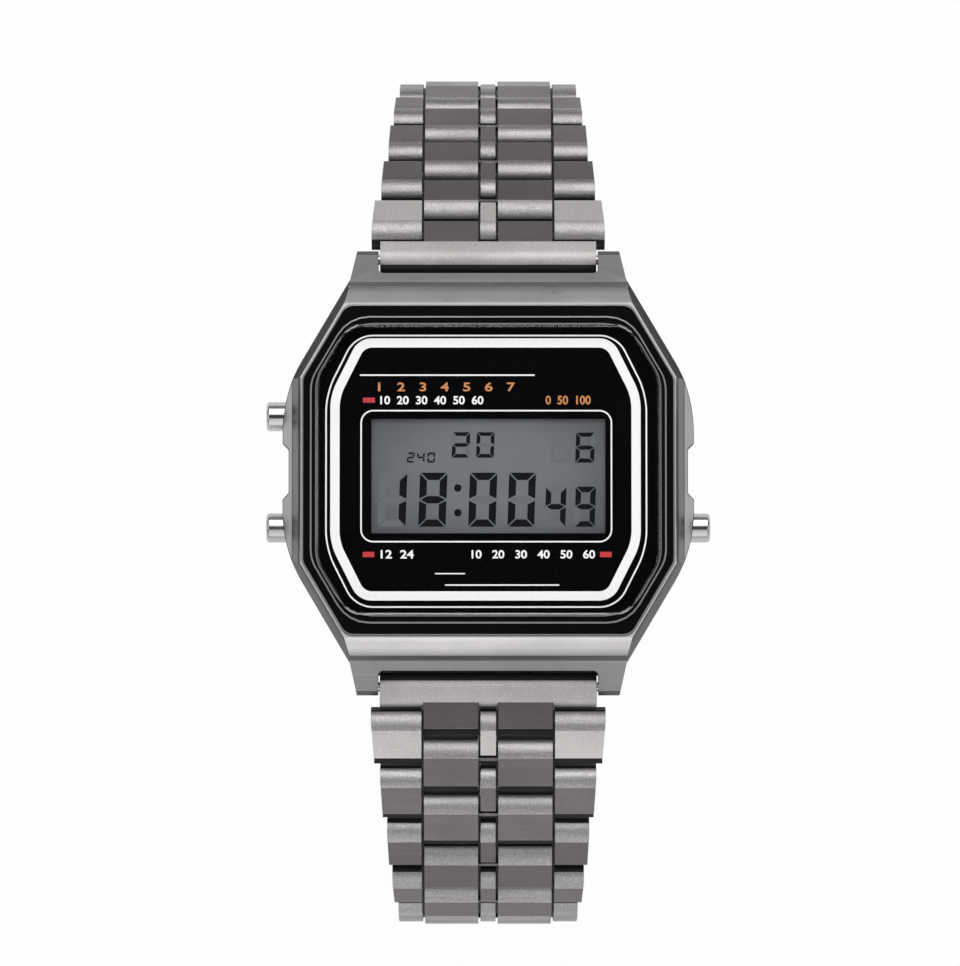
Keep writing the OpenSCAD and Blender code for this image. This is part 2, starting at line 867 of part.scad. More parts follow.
module button_clip(k) {
    x0 = cavity_x - fit - clip_t + 0.02;
    x1 = cavity_x - fit - 0.02;
    color(bright_steel)
        at_button(k)
            difference() {
                bar_x(clip_r, x0, x1);
                bar_x(stem_r - 0.14, x0 - 1, x1 + 1);
                translate([x0 - 1, -stem_r + 0.17, 0])
                    cube([3, 2 * stem_r - 0.34, 3]);
            }
}

// Wound wire along X: one unbroken tube swept along a helix
wire_sides = 6;
rings_per_turn = 8;
coil_r = 0.88;
coil_start = seat_x + spring_wire_r + 0.03;
coil_l = head_back_x - seat_x - 2 * spring_wire_r - 0.06;
function coil_point(t) = [coil_start + coil_l * t / spring_turns, coil_r * cos(360 * t), coil_r * sin(360 * t)];
function wire_ring(t) = let (outward = [0, cos(360 * t), sin(360 * t)]) [
    for (k = [0 : wire_sides - 1]) let (a = 360 * k / wire_sides)
        coil_point(t) + spring_wire_r * (cos(a) * outward + sin(a) * [1, 0, 0])
];
coil_rings = spring_turns * rings_per_turn + 1;
module button_spring(k) {
    last = (coil_rings - 1) * wire_sides;
    ring_faces = [
        for (i = [0 : coil_rings - 2], j = [0 : wire_sides - 1])
            let (a = i * wire_sides + j, b = i * wire_sides + (j + 1) % wire_sides)
                each [[a, a + wire_sides, b + wire_sides], [a, b + wire_sides, b]]
    ];
    caps = [
        for (j = [1 : wire_sides - 2])
            each [[0, j, j + 1], [last, last + j + 1, last + j]]
    ];
    color(bright_steel)
        at_button(k)
            polyhedron(
                [for (i = [0 : coil_rings - 1]) each wire_ring(i / rings_per_turn)],
                concat(ring_faces, caps)
            );
}
echo(least_gap_between_spring_turns = coil_l / spring_turns - 2 * spring_wire_r);

// Puts a link, drawn along +Y from its first pin with its outer face up, on its place in a strap
module on_strap(upper, k) {
    tilts = upper ? upper_tilts : lower_tilts;
    mirror([0, upper ? 0 : 1, 0])
        translate([0, start_y(tilts, k), start_z(tilts, k)])
            rotate([-tilts[k], 0, 0])
                children();
}

// Section of a link between two pins, its outer face up: curled over at its first pin, with a square
// outer edge at the far end and a lip under it that closes the gap to the next link
curl_l = 1.6;
curl_middle = 0.75;
lip_reach = 1.4;
lip_top = 0.2;
function lip_section(y0, y1) = [
    [y0, -0.65], [y1 - 0.1, -lip_top], [y1, -0.1], [y1, lip_top - 0.05], [y1 - 0.05, lip_top]
];
function far_section(to, far, lip) = lip
    ? concat([[to + 0.5, -link_r]], lip_section(to + 0.9, to + lip_reach), [[to + far, lip_top]])
    : let (r = link_r * 2 / 3) [for (a = [-90 : 18 : 0]) [to + far - r + r * cos(a), r * sin(a) - link_r / 3]];
function link_section(from, to, far, lip) = concat(
    [for (a = [90 : -16 : 10]) [from + curl_middle - curl_l * cos(a), (4 * sin(a) - 1) * link_r / 3]],
    [for (a = [198, 212]) [from + near_reach * cos(a), near_reach * sin(a) - link_r / 10]],
    [[from - 0.8, -0.8], [from - 0.7, -link_r + 0.06], [from - 0.62, -link_r]],
    far_section(to, far, lip),
    [[to + far, link_r]]
);

module link(x0, x1, from, to, far = far_reach, lip = true) {
    translate([x0, 0, 0])
        rotate([90, 0, 90])
            linear_extrude(x1 - x0)
                polygon(link_section(from, to, far, lip));
}

// Bores through everything that lies round one pin
module pin_bore(y, r = bore_r) {
    bar_x(r, -strap_w_start, strap_w_start, y);
}

module hinge_pin(half, y) {
    bar_x(pin_r, -half + pin_inset, half - pin_inset, y);
}

module outer_links(k, lip) {
    near = row_half_w(k);
    far = row_far_half_w(k);
    far_end = row_half + far_reach;
    difference() {
        intersection() {
            for (m = [0, 1])
                mirror([m, 0, 0])
                    link(outer_start, near, 0, row_half, far_reach, lip);
            translate([0, 0, -link_t])
                linear_extrude(2 * link_t)
                    polygon([
                        [-near, -link_t], [near, -link_t], [near, 0], [far, far_end], [far, far_end + 1],
                        [-far, far_end + 1], [-far, far_end], [-near, 0]
                    ]);
        }
        pin_bore(0);
        pin_bore(row_half);
    }
}

module centre_link() {
    difference() {
        link(-centre_half, centre_half, 0, row_half, far_reach - bridge_t, false);
        pin_bore(0);
        pin_bore(row_half);
    }
}

// Pair of inner links joined by a narrow bridge
module inner_pair(lip) {
    bridge_y = row_half + far_reach;
    difference() {
        union() {
            for (m = [0, 1])
                mirror([m, 0, 0])
                    link(inner_start, inner_end, row_half, link_pitch, far_reach, lip);
            along_x(inner_start + eps, concat(
                [[bridge_y, -0.5]],
                lip ? lip_section(bridge_y + 0.3, row_half + lip_reach) : [[bridge_y + bridge_t, -0.5]],
                [[bridge_y + bridge_t, lip_top], [bridge_y + bridge_t, link_r * 0.85], [bridge_y, link_r * 0.85]]
            ));
        }
        pin_bore(row_half);
        pin_bore(link_pitch);
    }
}

// The last upper row ends in a roll across its full width for the clasp's spring bar
module clasp_end_pair() {
    roll_half = strap_w / 2 - 0.1;
    difference() {
        union() {
            for (m = [0, 1])
                mirror([m, 0, 0])
                    link(inner_start, inner_end, row_half, link_pitch, far_reach, false);
            bar_x(link_r, -roll_half, roll_half, link_pitch);
        }
        pin_bore(row_half);
        pin_bore(link_pitch, clasp_bar_r + pin_clear);
    }
}

module row(upper, k) {
    last = k == (upper ? upper_rows : lower_rows);
    color(gunmetal)
        on_strap(upper, k) {
            outer_links(k, !last);
            centre_link();
            if (last && upper)
                clasp_end_pair();
            else
                inner_pair(!last);
            hinge_pin(row_half_w(k), 0);
            hinge_pin(row_far_half_w(k), row_half);
        }
}

module end_piece(upper) {
    roll_half = lug_gap / 2 - 0.15;
    lip = end_reach - near_reach - loose;
    color(steel)
        on_strap(upper, 0)
            difference() {
                union() {
                    bar_x(roll_r, -roll_half, roll_half);
                    along_x(roll_half, [
                        [0, -0.9], [lip - 0.18, -0.6], [lip, -0.35], [lip, 0], [lip - 0.08, 0.35],
                        [lip - 0.23, 0.7], [lip - 0.48, 0.98], [lip - 0.78, roll_r - 0.07], [0, roll_r]
                    ]);
                    for (m = [0, 1])
                        mirror([m, 0, 0])
                            link(inner_start, inner_end, 0.4, end_reach);
                }
                pin_bore(0, bar_r + pin_clear);
                pin_bore(end_reach);
            }
}

clasp_bar_r = 0.55;
module clasp_bar() {
    color(bright_steel)
        bar_x(clasp_bar_r, -strap_w / 2 + 0.15, strap_w / 2 - 0.15, upper_pin_y, strap_pin_z);
}

// Knuckle tube round a hinge axis along X
module knuckle(x0, x1, y, z, r = knuckle_r) {
    bar_x(r, x0, x1, y, z);
}

module on_both_sides() {
    for (m = [0, 1])
        mirror([m, 0, 0])
            children();
}

blade_start = 1.4;
blade_clear = 1.25;
module lower_blade() {
    arm_z = strap_pin_z - blade_t / 2;
    plate_y0 = lower_pin_y + blade_start;
    plate_y1 = fold_hinge_y - blade_clear;
    color(steel)
        difference() {
            union() {
                translate([-blade_half, plate_y0, lower_blade_z])
                    cube([2 * blade_half, plate_y1 - plate_y0, blade_t]);
                translate([-centre_half, lower_pin_y, arm_z])
                    cube([centre_w, blade_start + eps, blade_t]);
                knuckle(-centre_half, centre_half, lower_pin_y, strap_pin_z, link_r * 0.9);
                on_both_sides() {
                    translate([outer_start, lower_pin_y, arm_z])
                        cube([blade_half - outer_start, blade_start + eps, blade_t]);
                    knuckle(outer_start, blade_half, lower_pin_y, strap_pin_z, link_r * 0.9);
                }
                translate([-knuckle_split + 0.1, plate_y1 - eps, lower_blade_z])
                    cube([2 * knuckle_split - 0.2, fold_hinge_y - plate_y1 + eps, blade_t]);
                knuckle(-knuckle_split + 0.1, knuckle_split - 0.1, fold_hinge_y, fold_axis_z);
            }
            bar_x(bore_r, -case_w, case_w, lower_pin_y, strap_pin_z);
            bar_x(bore_r, -case_w, case_w, fold_hinge_y, fold_axis_z);
            translate([-blade_window_w / 2, plate_y0 + blade_window_inset, lower_blade_z - 1])
                cube([blade_window_w, plate_y1 - plate_y0 - 2 * blade_window_inset, 3]);
            on_both_sides()
                translate([notch_half, cover_hinge_y - blade_clear, lower_blade_z - 1])
                    cube([blade_half, 2 * blade_clear, 3]);
        }
    color(bright_steel)
        bar_x(pin_r, -blade_half + pin_inset, blade_half - pin_inset, lower_pin_y, strap_pin_z);
}

module fold_pin() {
    color(bright_steel)
        bar_x(pin_r, -blade_half + pin_inset, blade_half - pin_inset, fold_hinge_y, fold_axis_z);
}

module middle_blade() {
    plate_y0 = cover_hinge_y;
    plate_y1 = fold_hinge_y - blade_clear;
    color(steel)
        difference() {
            union() {
                translate([-blade_half, plate_y0, middle_blade_z])
                    cube([2 * blade_half, plate_y1 - plate_y0, blade_t]);
                on_both_sides() {
                    knuckle(notch_half + notch_clear, blade_half, cover_hinge_y, fold_axis_z, knuckle_r - fit);
                    translate([knuckle_split + 0.1, plate_y1 - eps, middle_blade_z])
                        cube([blade_half - knuckle_split - 0.1, fold_hinge_y - plate_y1 + eps, blade_t]);
                    knuckle(knuckle_split + 0.1, blade_half, fold_hinge_y, fold_axis_z);
                }
            }
            bar_x(bore_r, -case_w, case_w, cover_hinge_y, fold_axis_z);
            bar_x(bore_r, -case_w, case_w, fold_hinge_y, fold_axis_z);
        }
}

module clasp_cover() {
    plate_y0 = cover_hinge_y + plate_front;
    plate_y1 = upper_pin_y - plate_back;
    wall_y0 = cover_hinge_y - wall_start + ear_r;
    color(steel)
        difference() {
            union() {
                translate([-cover_half, plate_y0, 0])
                    cube([2 * cover_half, plate_y1 - plate_y0, cover_t]);
                on_both_sides() {
                    translate([wall_inner, wall_y0, 0])
                        cube([wall_t, plate_y1 - wall_y0, wall_h]);
                    translate([wall_inner, wall_y0 - ear_r, cover_t])
                        cube([wall_t, 2 * ear_r, wall_h - cover_t]);
                    translate([wall_inner, plate_y1 - eps, strap_pin_z - ear_r])
                        cube([wall_t, plate_back + eps, 2 * ear_r]);
                    bar_x(ear_r, wall_inner, cover_half, upper_pin_y, strap_pin_z);
                }
            }
            bar_x(bar_tip_r + fit, -case_w, case_w, upper_pin_y, strap_pin_z);
            bar_x(pin_r + eps, -case_w, case_w, cover_hinge_y, fold_axis_z);
            for (k = [1 : adjust_holes])
                bar_x(bar_tip_r + fit, -case_w, case_w, upper_pin_y - k * adjust_pitch, strap_pin_z);
        }
}

module cover_pins() {
    color(bright_steel)
        on_both_sides()
            bar_x(pin_r, notch_half + notch_clear, cover_half, cover_hinge_y, fold_axis_z);
}

case();
bezel();
glass();
face_panel();
display_cell();
reflector();
contact_strips();
module_frame();
circuit_board();
processor_chip();
quartz_crystal();
lamp();
battery();
battery_clamp();
buzzer_disc();
case_gasket();
case_back();
case_screws();
spring_bars();
button_seals();
for (k = [0 : 2]) button(k);
for (k = [0 : 2]) button_clip(k);
for (k = [0 : 2]) button_spring(k);
end_piece(true);  // upper_end_piece
for (k = [1 : upper_rows]) row(true, k);
end_piece(false);  // lower_end_piece
for (k = [1 : lower_rows]) row(false, k);
clasp_bar();
lower_blade();
fold_pin();
middle_blade();
clasp_cover();
cover_pins();
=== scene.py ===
import json
import math

import bmesh
import bpy
from mathutils import Matrix, Vector


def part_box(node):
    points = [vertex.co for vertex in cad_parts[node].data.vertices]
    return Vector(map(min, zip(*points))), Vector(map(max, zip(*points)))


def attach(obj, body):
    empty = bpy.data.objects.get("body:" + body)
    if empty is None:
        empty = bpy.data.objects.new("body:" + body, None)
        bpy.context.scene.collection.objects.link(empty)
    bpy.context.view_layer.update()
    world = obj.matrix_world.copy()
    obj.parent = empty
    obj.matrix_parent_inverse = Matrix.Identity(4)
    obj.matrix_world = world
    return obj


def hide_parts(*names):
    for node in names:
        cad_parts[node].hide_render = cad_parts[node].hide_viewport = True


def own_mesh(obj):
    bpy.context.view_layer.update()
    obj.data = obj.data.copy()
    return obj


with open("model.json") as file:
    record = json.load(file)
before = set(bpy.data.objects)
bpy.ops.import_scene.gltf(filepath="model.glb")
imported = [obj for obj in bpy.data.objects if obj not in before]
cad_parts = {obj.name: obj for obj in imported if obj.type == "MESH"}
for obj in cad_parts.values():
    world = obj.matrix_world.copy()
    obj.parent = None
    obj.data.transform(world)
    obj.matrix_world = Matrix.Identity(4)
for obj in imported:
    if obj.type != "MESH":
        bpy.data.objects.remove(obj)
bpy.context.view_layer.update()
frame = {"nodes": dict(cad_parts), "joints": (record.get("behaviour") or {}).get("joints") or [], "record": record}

MM = 0.001
nodes = frame["nodes"]
body_of_node = {n: body for body, members in frame["record"]["behaviour"]["bodies"].items() for n in members}

panel_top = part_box("face_panel")[1].z / MM
glass_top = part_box("glass")[1].z / MM
display_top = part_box("display_cell")[1].z / MM


# Shader nodes

def put(tree, kind, settings=None, **values):
    """A new node in tree. A value named i2 goes to the third input, any other to the input of that name."""
    node = tree.nodes.new(kind)
    for name, value in (settings or {}).items():
        setattr(node, name, value)
    for name, value in values.items():
        if name[0] == "i" and name[1:].isdigit():
            socket = node.inputs[int(name[1:])]
        else:
            socket = node.inputs[name.replace("_", " ")]
        if isinstance(value, bpy.types.NodeSocket):
            tree.links.new(value, socket)
        else:
            socket.default_value = value
    return node


def sum_of(tree, a, b, operation="ADD"):
    return put(tree, "ShaderNodeMath", {"operation": operation}, i0=a, i1=b).outputs[0]


def between(tree, share, low, high):
    """Value that goes from low to high as share goes from 0 to 1."""
    return put(tree, "ShaderNodeMapRange", Value=share, To_Min=low, To_Max=high).outputs[0]


def ramp(tree, share, start, end, first, last):
    """Value that goes from first to last as share goes from start to end."""
    return put(tree, "ShaderNodeMapRange", Value=share, From_Min=start, From_Max=end, To_Min=first,
               To_Max=last).outputs[0]


def steeper(tree, share, start, end):
    """0 below start, 1 above end, smooth in between."""
    return put(tree, "ShaderNodeMapRange", {"interpolation_type": "SMOOTHSTEP"},
               Value=share, From_Min=start, From_Max=end).outputs[0]


def colour_mix(tree, share, a, b, blend="MIX"):
    node = put(tree, "ShaderNodeMix", {"data_type": "RGBA", "blend_type": blend}, i0=share, i6=a, i7=b)
    return node.outputs[2]


def new_group(name, inputs, outputs):
    """A node group with named sockets, given as (name, kind, default)."""
    group = bpy.data.node_groups.new(name, "ShaderNodeTree")
    for label, kind, value in inputs:
        socket = group.interface.new_socket(name=label, in_out="INPUT", socket_type=kind)
        if value is not None:
            socket.default_value = value
    for label, kind in outputs:
        group.interface.new_socket(name=label, in_out="OUTPUT", socket_type=kind)
    return group, group.nodes.new("NodeGroupInput"), group.nodes.new("NodeGroupOutput")


FLOAT, VECTOR = "NodeSocketFloat", "NodeSocketVector"


def brushed_grain_group():
    """Long fine scratches left by a brushing wheel. Frequency is in lines per metre along each axis."""
    group, inside, out = new_group(
        "brushed_grain",
        [("Coordinates", VECTOR, None), ("Frequency", VECTOR, (9000.0, 300.0, 9000.0))],
        [("Height", FLOAT), ("Streaks", FLOAT)],
    )
    stretched = put(group, "ShaderNodeVectorMath", {"operation": "MULTIPLY"},
                    i0=inside.outputs["Coordinates"], i1=inside.outputs["Frequency"]).outputs[0]
    fine = put(group, "ShaderNodeTexNoise", Vector=stretched, Scale=1.0, Detail=3.0, Roughness=0.7)
    wide = put(group, "ShaderNodeTexNoise", Vector=stretched, Scale=0.22, Detail=2.0, Roughness=0.5)
    group.links.new(fine.outputs[0], out.inputs["Height"])
    both = sum_of(group, fine.outputs[0], wide.outputs[0])
    group.links.new(between(group, both, -0.5, 0.5), out.inputs["Streaks"])
    return group


def sand_speckle_group():
    """Blasted surface: small grains that catch the light one by one. Glints marks the grains that a material
    paints bright: painted glints.
    """
    group, inside, out = new_group(
        "sand_speckle",
        [("Coordinates", VECTOR, None), ("Grains", FLOAT, 7000.0)],
        [("Height", FLOAT), ("Glints", FLOAT)],
    )
    noise = put(group, "ShaderNodeTexNoise", Vector=inside.outputs["Coordinates"],
                Scale=inside.outputs["Grains"], Detail=3.0, Roughness=0.65)
    cells = put(group, "ShaderNodeTexVoronoi", Vector=inside.outputs["Coordinates"],
                Scale=sum_of(group, inside.outputs["Grains"], 0.8, "MULTIPLY"))
    height = sum_of(group, noise.outputs[0], sum_of(group, cells.outputs["Distance"], 0.5, "MULTIPLY"))
    group.links.new(height, out.inputs["Height"])
    group.links.new(steeper(group, noise.outputs[0], 0.48, 0.72), out.inputs["Glints"])
    return group


def edge_wear_and_sheen_group():
    """Edges rubbed bright by handling, in uneven patches, which also paints a highlight along them. Edge is 1 on
    the broken edges.
    """
    group, inside, out = new_group(
        "edge_wear_and_sheen",
        [("Coordinates", VECTOR, None), ("Edge", FLOAT, 0.0), ("Amount", FLOAT, 1.0)],
        [("Wear and sheen", FLOAT)],
    )
    patches = put(group, "ShaderNodeTexNoise", Vector=inside.outputs["Coordinates"], Scale=420.0, Detail=3.0)
    share = between(group, steeper(group, patches.outputs[0], 0.35, 0.65), 0.45, 1.0)
    wear_and_sheen = sum_of(group, sum_of(group, inside.outputs["Edge"], share, "MULTIPLY"),
                  inside.outputs["Amount"], "MULTIPLY")
    group.links.new(wear_and_sheen, out.inputs["Wear and sheen"])
    return group


def handling_group():
    """Faint haze of handling, in soft patches a few millimetres wide."""
    group, inside, out = new_group(
        "handling_haze", [("Coordinates", VECTOR, None), ("Patches", FLOAT, 160.0)], [("Haze", FLOAT)]
    )
    noise = put(group, "ShaderNodeTexNoise", Vector=inside.outputs["Coordinates"],
                Scale=inside.outputs["Patches"], Detail=5.0, Roughness=0.6, Distortion=0.4)
    group.links.new(steeper(group, noise.outputs[0], 0.35, 0.7), out.inputs["Haze"])
    return group


BRUSHED = brushed_grain_group()
SAND = sand_speckle_group()
WEAR_AND_SHEEN = edge_wear_and_sheen_group()
HAZE = handling_group()


def new_material(name):
    material = bpy.data.materials.new(name)
    material.use_nodes = True
    tree = material.node_tree
    shader = tree.nodes["Principled BSDF"]
    place = put(tree, "ShaderNodeTexCoord").outputs["Object"]
    return material, tree, shader, place


def grouped(tree, group, **values):
    return put(tree, "ShaderNodeGroup", {"node_tree": group}, **values)


def steel(name, colour, roughness, grain=None, grains=0.0, speckle=0.0, edge=None, edge_rough=0.16,
          bump=0.25, metal=1.0, streak=0.9, glance=1.0):
    """Steel with brushed grain, blasted speckle with painted glints, and bright edges, rubbed by wear and with a
    painted highlight. A plated finish is less than all metal, and a low glance keeps it dark where it is seen at a
    slant."""
    material, tree, shader, place = new_material(name)
    haze = grouped(tree, HAZE, Coordinates=place).outputs["Haze"]
    base = colour_mix(tree, haze, (*colour, 1), (*[c * 0.9 for c in colour], 1))
    rough = between(tree, haze, roughness - 0.02, roughness + 0.04)
    height = None
    if grain:
        brushed = grouped(tree, BRUSHED, Coordinates=place, Frequency=grain)
        streaks = brushed.outputs["Streaks"]
        base = colour_mix(tree, between(tree, streaks, 0.0, streak), base, (*[c * 0.62 for c in colour], 1))
        rough = sum_of(tree, rough, between(tree, streaks, -0.05, 0.09))
        height = brushed.outputs["Height"]
    # Grains painted brighter into the colour: painted glints
    if grains:
        sand = grouped(tree, SAND, Coordinates=place, Grains=grains)
        base = colour_mix(tree, sum_of(tree, sand.outputs["Glints"], speckle, "MULTIPLY"), base,
                          (*[min(1.0, c * 2.0) for c in colour], 1))
        height = sand.outputs["Height"] if height is None else sum_of(tree, height, sand.outputs["Height"])
    # Broken edges are lighter: wear, and a painted highlight along them
    edges = put(tree, "ShaderNodeAttribute", {"attribute_name": "broken_edge"}).outputs["Fac"]
    wear_and_sheen = grouped(tree, WEAR_AND_SHEEN, Coordinates=place, Edge=edges, Amount=1.0).outputs["Wear and sheen"]
    base = colour_mix(tree, wear_and_sheen, base, (*(edge or [min(1.0, c * 1.5) for c in colour]), 1))
    rough = put(tree, "ShaderNodeMix", {"data_type": "FLOAT"}, i0=wear_and_sheen, i2=rough, i3=edge_rough).outputs[0]
    tree.links.new(base, shader.inputs["Base Color"])
    tree.links.new(rough, shader.inputs["Roughness"])
    shader.inputs["Metallic"].default_value = metal
    shader.inputs["Specular Tint"].default_value = (glance, glance, glance, 1)
    if height is not None:
        bumps = put(tree, "ShaderNodeBump", Height=height, Strength=bump, Distance=0.00002)
        tree.links.new(bumps.outputs[0], shader.inputs["Normal"])
    return material


def paint_end_facet_light_and_shade(material, bezel_end):
    """Paints light and shade into the colour of the two end facets of the case: a painted highlight makes them
    lighter at the bezel and painted shade makes them darker towards the crease.
    """
    tree = material.node_tree
    shader = next(node for node in tree.nodes if node.type == "BSDF_PRINCIPLED")
    place = put(tree, "ShaderNodeTexCoord").outputs["Object"]
    parts = put(tree, "ShaderNodeSeparateXYZ", Vector=place).outputs
    along = sum_of(tree, parts["Y"], 0.0, "ABSOLUTE")
    light = ramp(tree, along, bezel_end, bezel_end + 0.6 * MM, 1.35, 1.0)
    dark = ramp(tree, along, bezel_end + 1.0 * MM, bezel_end + 1.7 * MM, 1.0, 0.5)
    before_crease = ramp(tree, along, bezel_end + 1.85 * MM, bezel_end + 1.95 * MM, 1.0, 0.0)
    near_top = steeper(tree, parts["Z"], 37 * MM, 38 * MM)
    on_facet = sum_of(tree, before_crease, near_top, "MULTIPLY")
    factor = put(tree, "ShaderNodeMix", {"data_type": "FLOAT"}, i0=on_facet, i2=1.0,
                 i3=sum_of(tree, light, dark, "MULTIPLY")).outputs[0]
    colour = shader.inputs["Base Color"].links[0].from_socket
    shaded = put(tree, "ShaderNodeVectorMath", {"operation": "SCALE"}, Vector=colour, Scale=factor)
    tree.links.new(shaded.outputs["Vector"], shader.inputs["Base Color"])


def moulded(name, colour, roughness, spread=0.15, coat=0.0, bump=0.1, edge=None):
    """Moulded plastic or rubber with fine surface grain and handling haze. An edge colour of its own covers the
    broken edges evenly, as a painted highlight, and without one they wear a little, in patches."""
    even, patchy = 2.2, 0.5
    material, tree, shader, place = new_material(name)
    haze = grouped(tree, HAZE, Coordinates=place, Patches=220.0).outputs["Haze"]
    base = colour_mix(tree, haze, (*colour, 1), (*[c * 0.85 for c in colour], 1))
    edges = put(tree, "ShaderNodeAttribute", {"attribute_name": "broken_edge"}).outputs["Fac"]
    wear_and_sheen = grouped(tree, WEAR_AND_SHEEN, Coordinates=place, Edge=edges, Amount=even if edge else patchy).outputs["Wear and sheen"]
    base = colour_mix(tree, wear_and_sheen, base, (*(edge or [min(1.0, c * 1.6 + 0.02) for c in colour]), 1))
    sand = grouped(tree, SAND, Coordinates=place, Grains=3000.0)
    bumps = put(tree, "ShaderNodeBump", Height=sand.outputs["Height"], Strength=bump, Distance=0.00001)
    tree.links.new(base, shader.inputs["Base Color"])
    tree.links.new(between(tree, haze, roughness, roughness + spread), shader.inputs["Roughness"])
    tree.links.new(bumps.outputs[0], shader.inputs["Normal"])
    shader.inputs["Coat Weight"].default_value = coat
    shader.inputs["Coat Roughness"].default_value = 0.06
    return material


def ink(name, colour, roughness=0.45, gloss=0.5):
    """Silk-screened print: slightly uneven colour and a dry surface."""
    material, tree, shader, place = new_material(name)
    shader.inputs["Specular IOR Level"].default_value = gloss
    noise = put(tree, "ShaderNodeTexNoise", Vector=place, Scale=9000.0, Detail=2.0)
    dry = steeper(tree, noise.outputs[0], 0.4, 0.75)
    base = colour_mix(tree, dry, (*colour, 1), (*[c * 0.93 for c in colour], 1))
    tree.links.new(base, shader.inputs["Base Color"])
    tree.links.new(between(tree, noise.outputs[0], roughness, roughness + 0.2), shader.inputs["Roughness"])
    bumps = put(tree, "ShaderNodeBump", Height=noise.outputs[0], Strength=0.15, Distance=0.00001)
    tree.links.new(bumps.outputs[0], shader.inputs["Normal"])
    return material


def display_cell_material():
    """Grey-green liquid crystal glass, a little lighter in the middle."""
    material, tree, shader, place = new_material("display_grey")
    middle = put(tree, "ShaderNodeMapping", Vector=place, Scale=(95.0, 160.0, 0.0)).outputs[0]
    far = put(tree, "ShaderNodeVectorMath", {"operation": "LENGTH"}, i0=middle).outputs["Value"]
    cloud = put(tree, "ShaderNodeTexNoise", Vector=place, Scale=350.0, Detail=3.0).outputs[0]
    shade = steeper(tree, sum_of(tree, far, between(tree, cloud, -0.15, 0.15)), 0.35, 1.35)
    base = colour_mix(tree, shade, (0.165, 0.176, 0.185, 1), (0.082, 0.086, 0.092, 1))
    fine = put(tree, "ShaderNodeTexNoise", Vector=place, Scale=14000.0, Detail=2.0).outputs[0]
    base = colour_mix(tree, between(tree, fine, 0.0, 0.18), base, (0.10, 0.105, 0.11, 1))
    tree.links.new(base, shader.inputs["Base Color"])
    tree.links.new(between(tree, cloud, 0.28, 0.4), shader.inputs["Roughness"])
    shader.inputs["Specular IOR Level"].default_value = 0.3
    return material


def cover_glass_material():
    """Clear mineral glass. Rays from lamps pass straight through it."""
    material, tree, shader, place = new_material("clear_glass")
    haze = grouped(tree, HAZE, Coordinates=place, Patches=90.0).outputs["Haze"]
    shader.inputs["Base Color"].default_value = (0.98, 0.99, 0.99, 1)
    shader.inputs["Transmission Weight"].default_value = 1.0
    shader.inputs["IOR"].default_value = 1.5
    tree.links.new(between(tree, haze, 0.0, 0.015), shader.inputs["Roughness"])
    rays = put(tree, "ShaderNodeLightPath")
    passing = sum_of(tree, rays.outputs["Is Shadow Ray"], rays.outputs["Is Diffuse Ray"], "MAXIMUM")
    clear = put(tree, "ShaderNodeBsdfTransparent")
    mix = put(tree, "ShaderNodeMixShader", i0=passing, i1=shader.outputs[0], i2=clear.outputs[0])
    tree.links.new(mix.outputs[0], tree.nodes["Material Output"].inputs["Surface"])
    return material


def board_material():
    """Green circuit board with copper tracks under the lacquer."""
    material, tree, shader, place = new_material("board_lacquer")
    tracks = put(tree, "ShaderNodeTexBrick", {"offset": 0.35}, Vector=place, Scale=420.0, Mortar_Size=0.06,
                 Brick_Width=1.6, Row_Height=0.5).outputs["Fac"]
    cloud = put(tree, "ShaderNodeTexNoise", Vector=place, Scale=260.0, Detail=2.0).outputs[0]
    base = colour_mix(tree, between(tree, cloud, 0.0, 0.5), (0.03, 0.16, 0.06, 1), (0.02, 0.10, 0.04, 1))
    base = colour_mix(tree, between(tree, tracks, 0.0, 0.55), base, (0.16, 0.30, 0.10, 1))
    tree.links.new(base, shader.inputs["Base Color"])
    tree.links.new(between(tree, cloud, 0.22, 0.4), shader.inputs["Roughness"])
    bumps = put(tree, "ShaderNodeBump", Height=tracks, Strength=0.3, Distance=0.00004)
    tree.links.new(bumps.outputs[0], shader.inputs["Normal"])
    return material


# Brushing lines per metre along each axis, blasted grains per metre, and colours of edges, rubbed by wear and
# carrying a painted highlight
ALONG_Y = (9000.0, 260.0, 9000.0)
ALONG_X = (260.0, 9000.0, 9000.0)
TURNED = (600.0, 7000.0, 7000.0)
BLASTED, BLASTED_CLASP = 6500.0, 5200.0
SATIN_EDGE, DIM_EDGE, CURL_EDGE = (0.6, 0.59, 0.59), (0.3, 0.29, 0.29), (0.50, 0.49, 0.49)

case_steel = steel("case_brushed", (0.62, 0.60, 0.60), 0.28, ALONG_X, edge=(0.85, 0.83, 0.83), bump=0.12,
                   streak=0.4)
# Ledge facets: satin steel, and darker than the end facets above them as painted shade on the steeper slope
ledge_steel = steel("ledge_satin_shaded", (0.36, 0.35, 0.35), 0.34, ALONG_X, edge=SATIN_EDGE, bump=0.12, streak=0.5)
flank_steel = steel("flank_satin", (0.18, 0.17, 0.175), 0.28, ALONG_Y, edge=SATIN_EDGE, bump=0.12)
# Flank rim: a lighter copy of the flank steel, which paints light on the facets of the flanks that look up
flank_painted_light = steel("flank_painted_light", (0.50, 0.48, 0.485), 0.3, ALONG_Y, edge=SATIN_EDGE, bump=0.12)
# Corners: darker copies of the flank steel, which paint shade on them; the upper corners take the darker one, with
# more painted shade than the lower
corner_steel = steel("corner_satin_shaded", (0.085, 0.082, 0.084), 0.3, ALONG_Y, edge=(0.35, 0.34, 0.34), bump=0.12)
corner_shaded = steel("corner_shaded", (0.055, 0.052, 0.054), 0.3, ALONG_Y, edge=DIM_EDGE, bump=0.12,
                      glance=0.5)
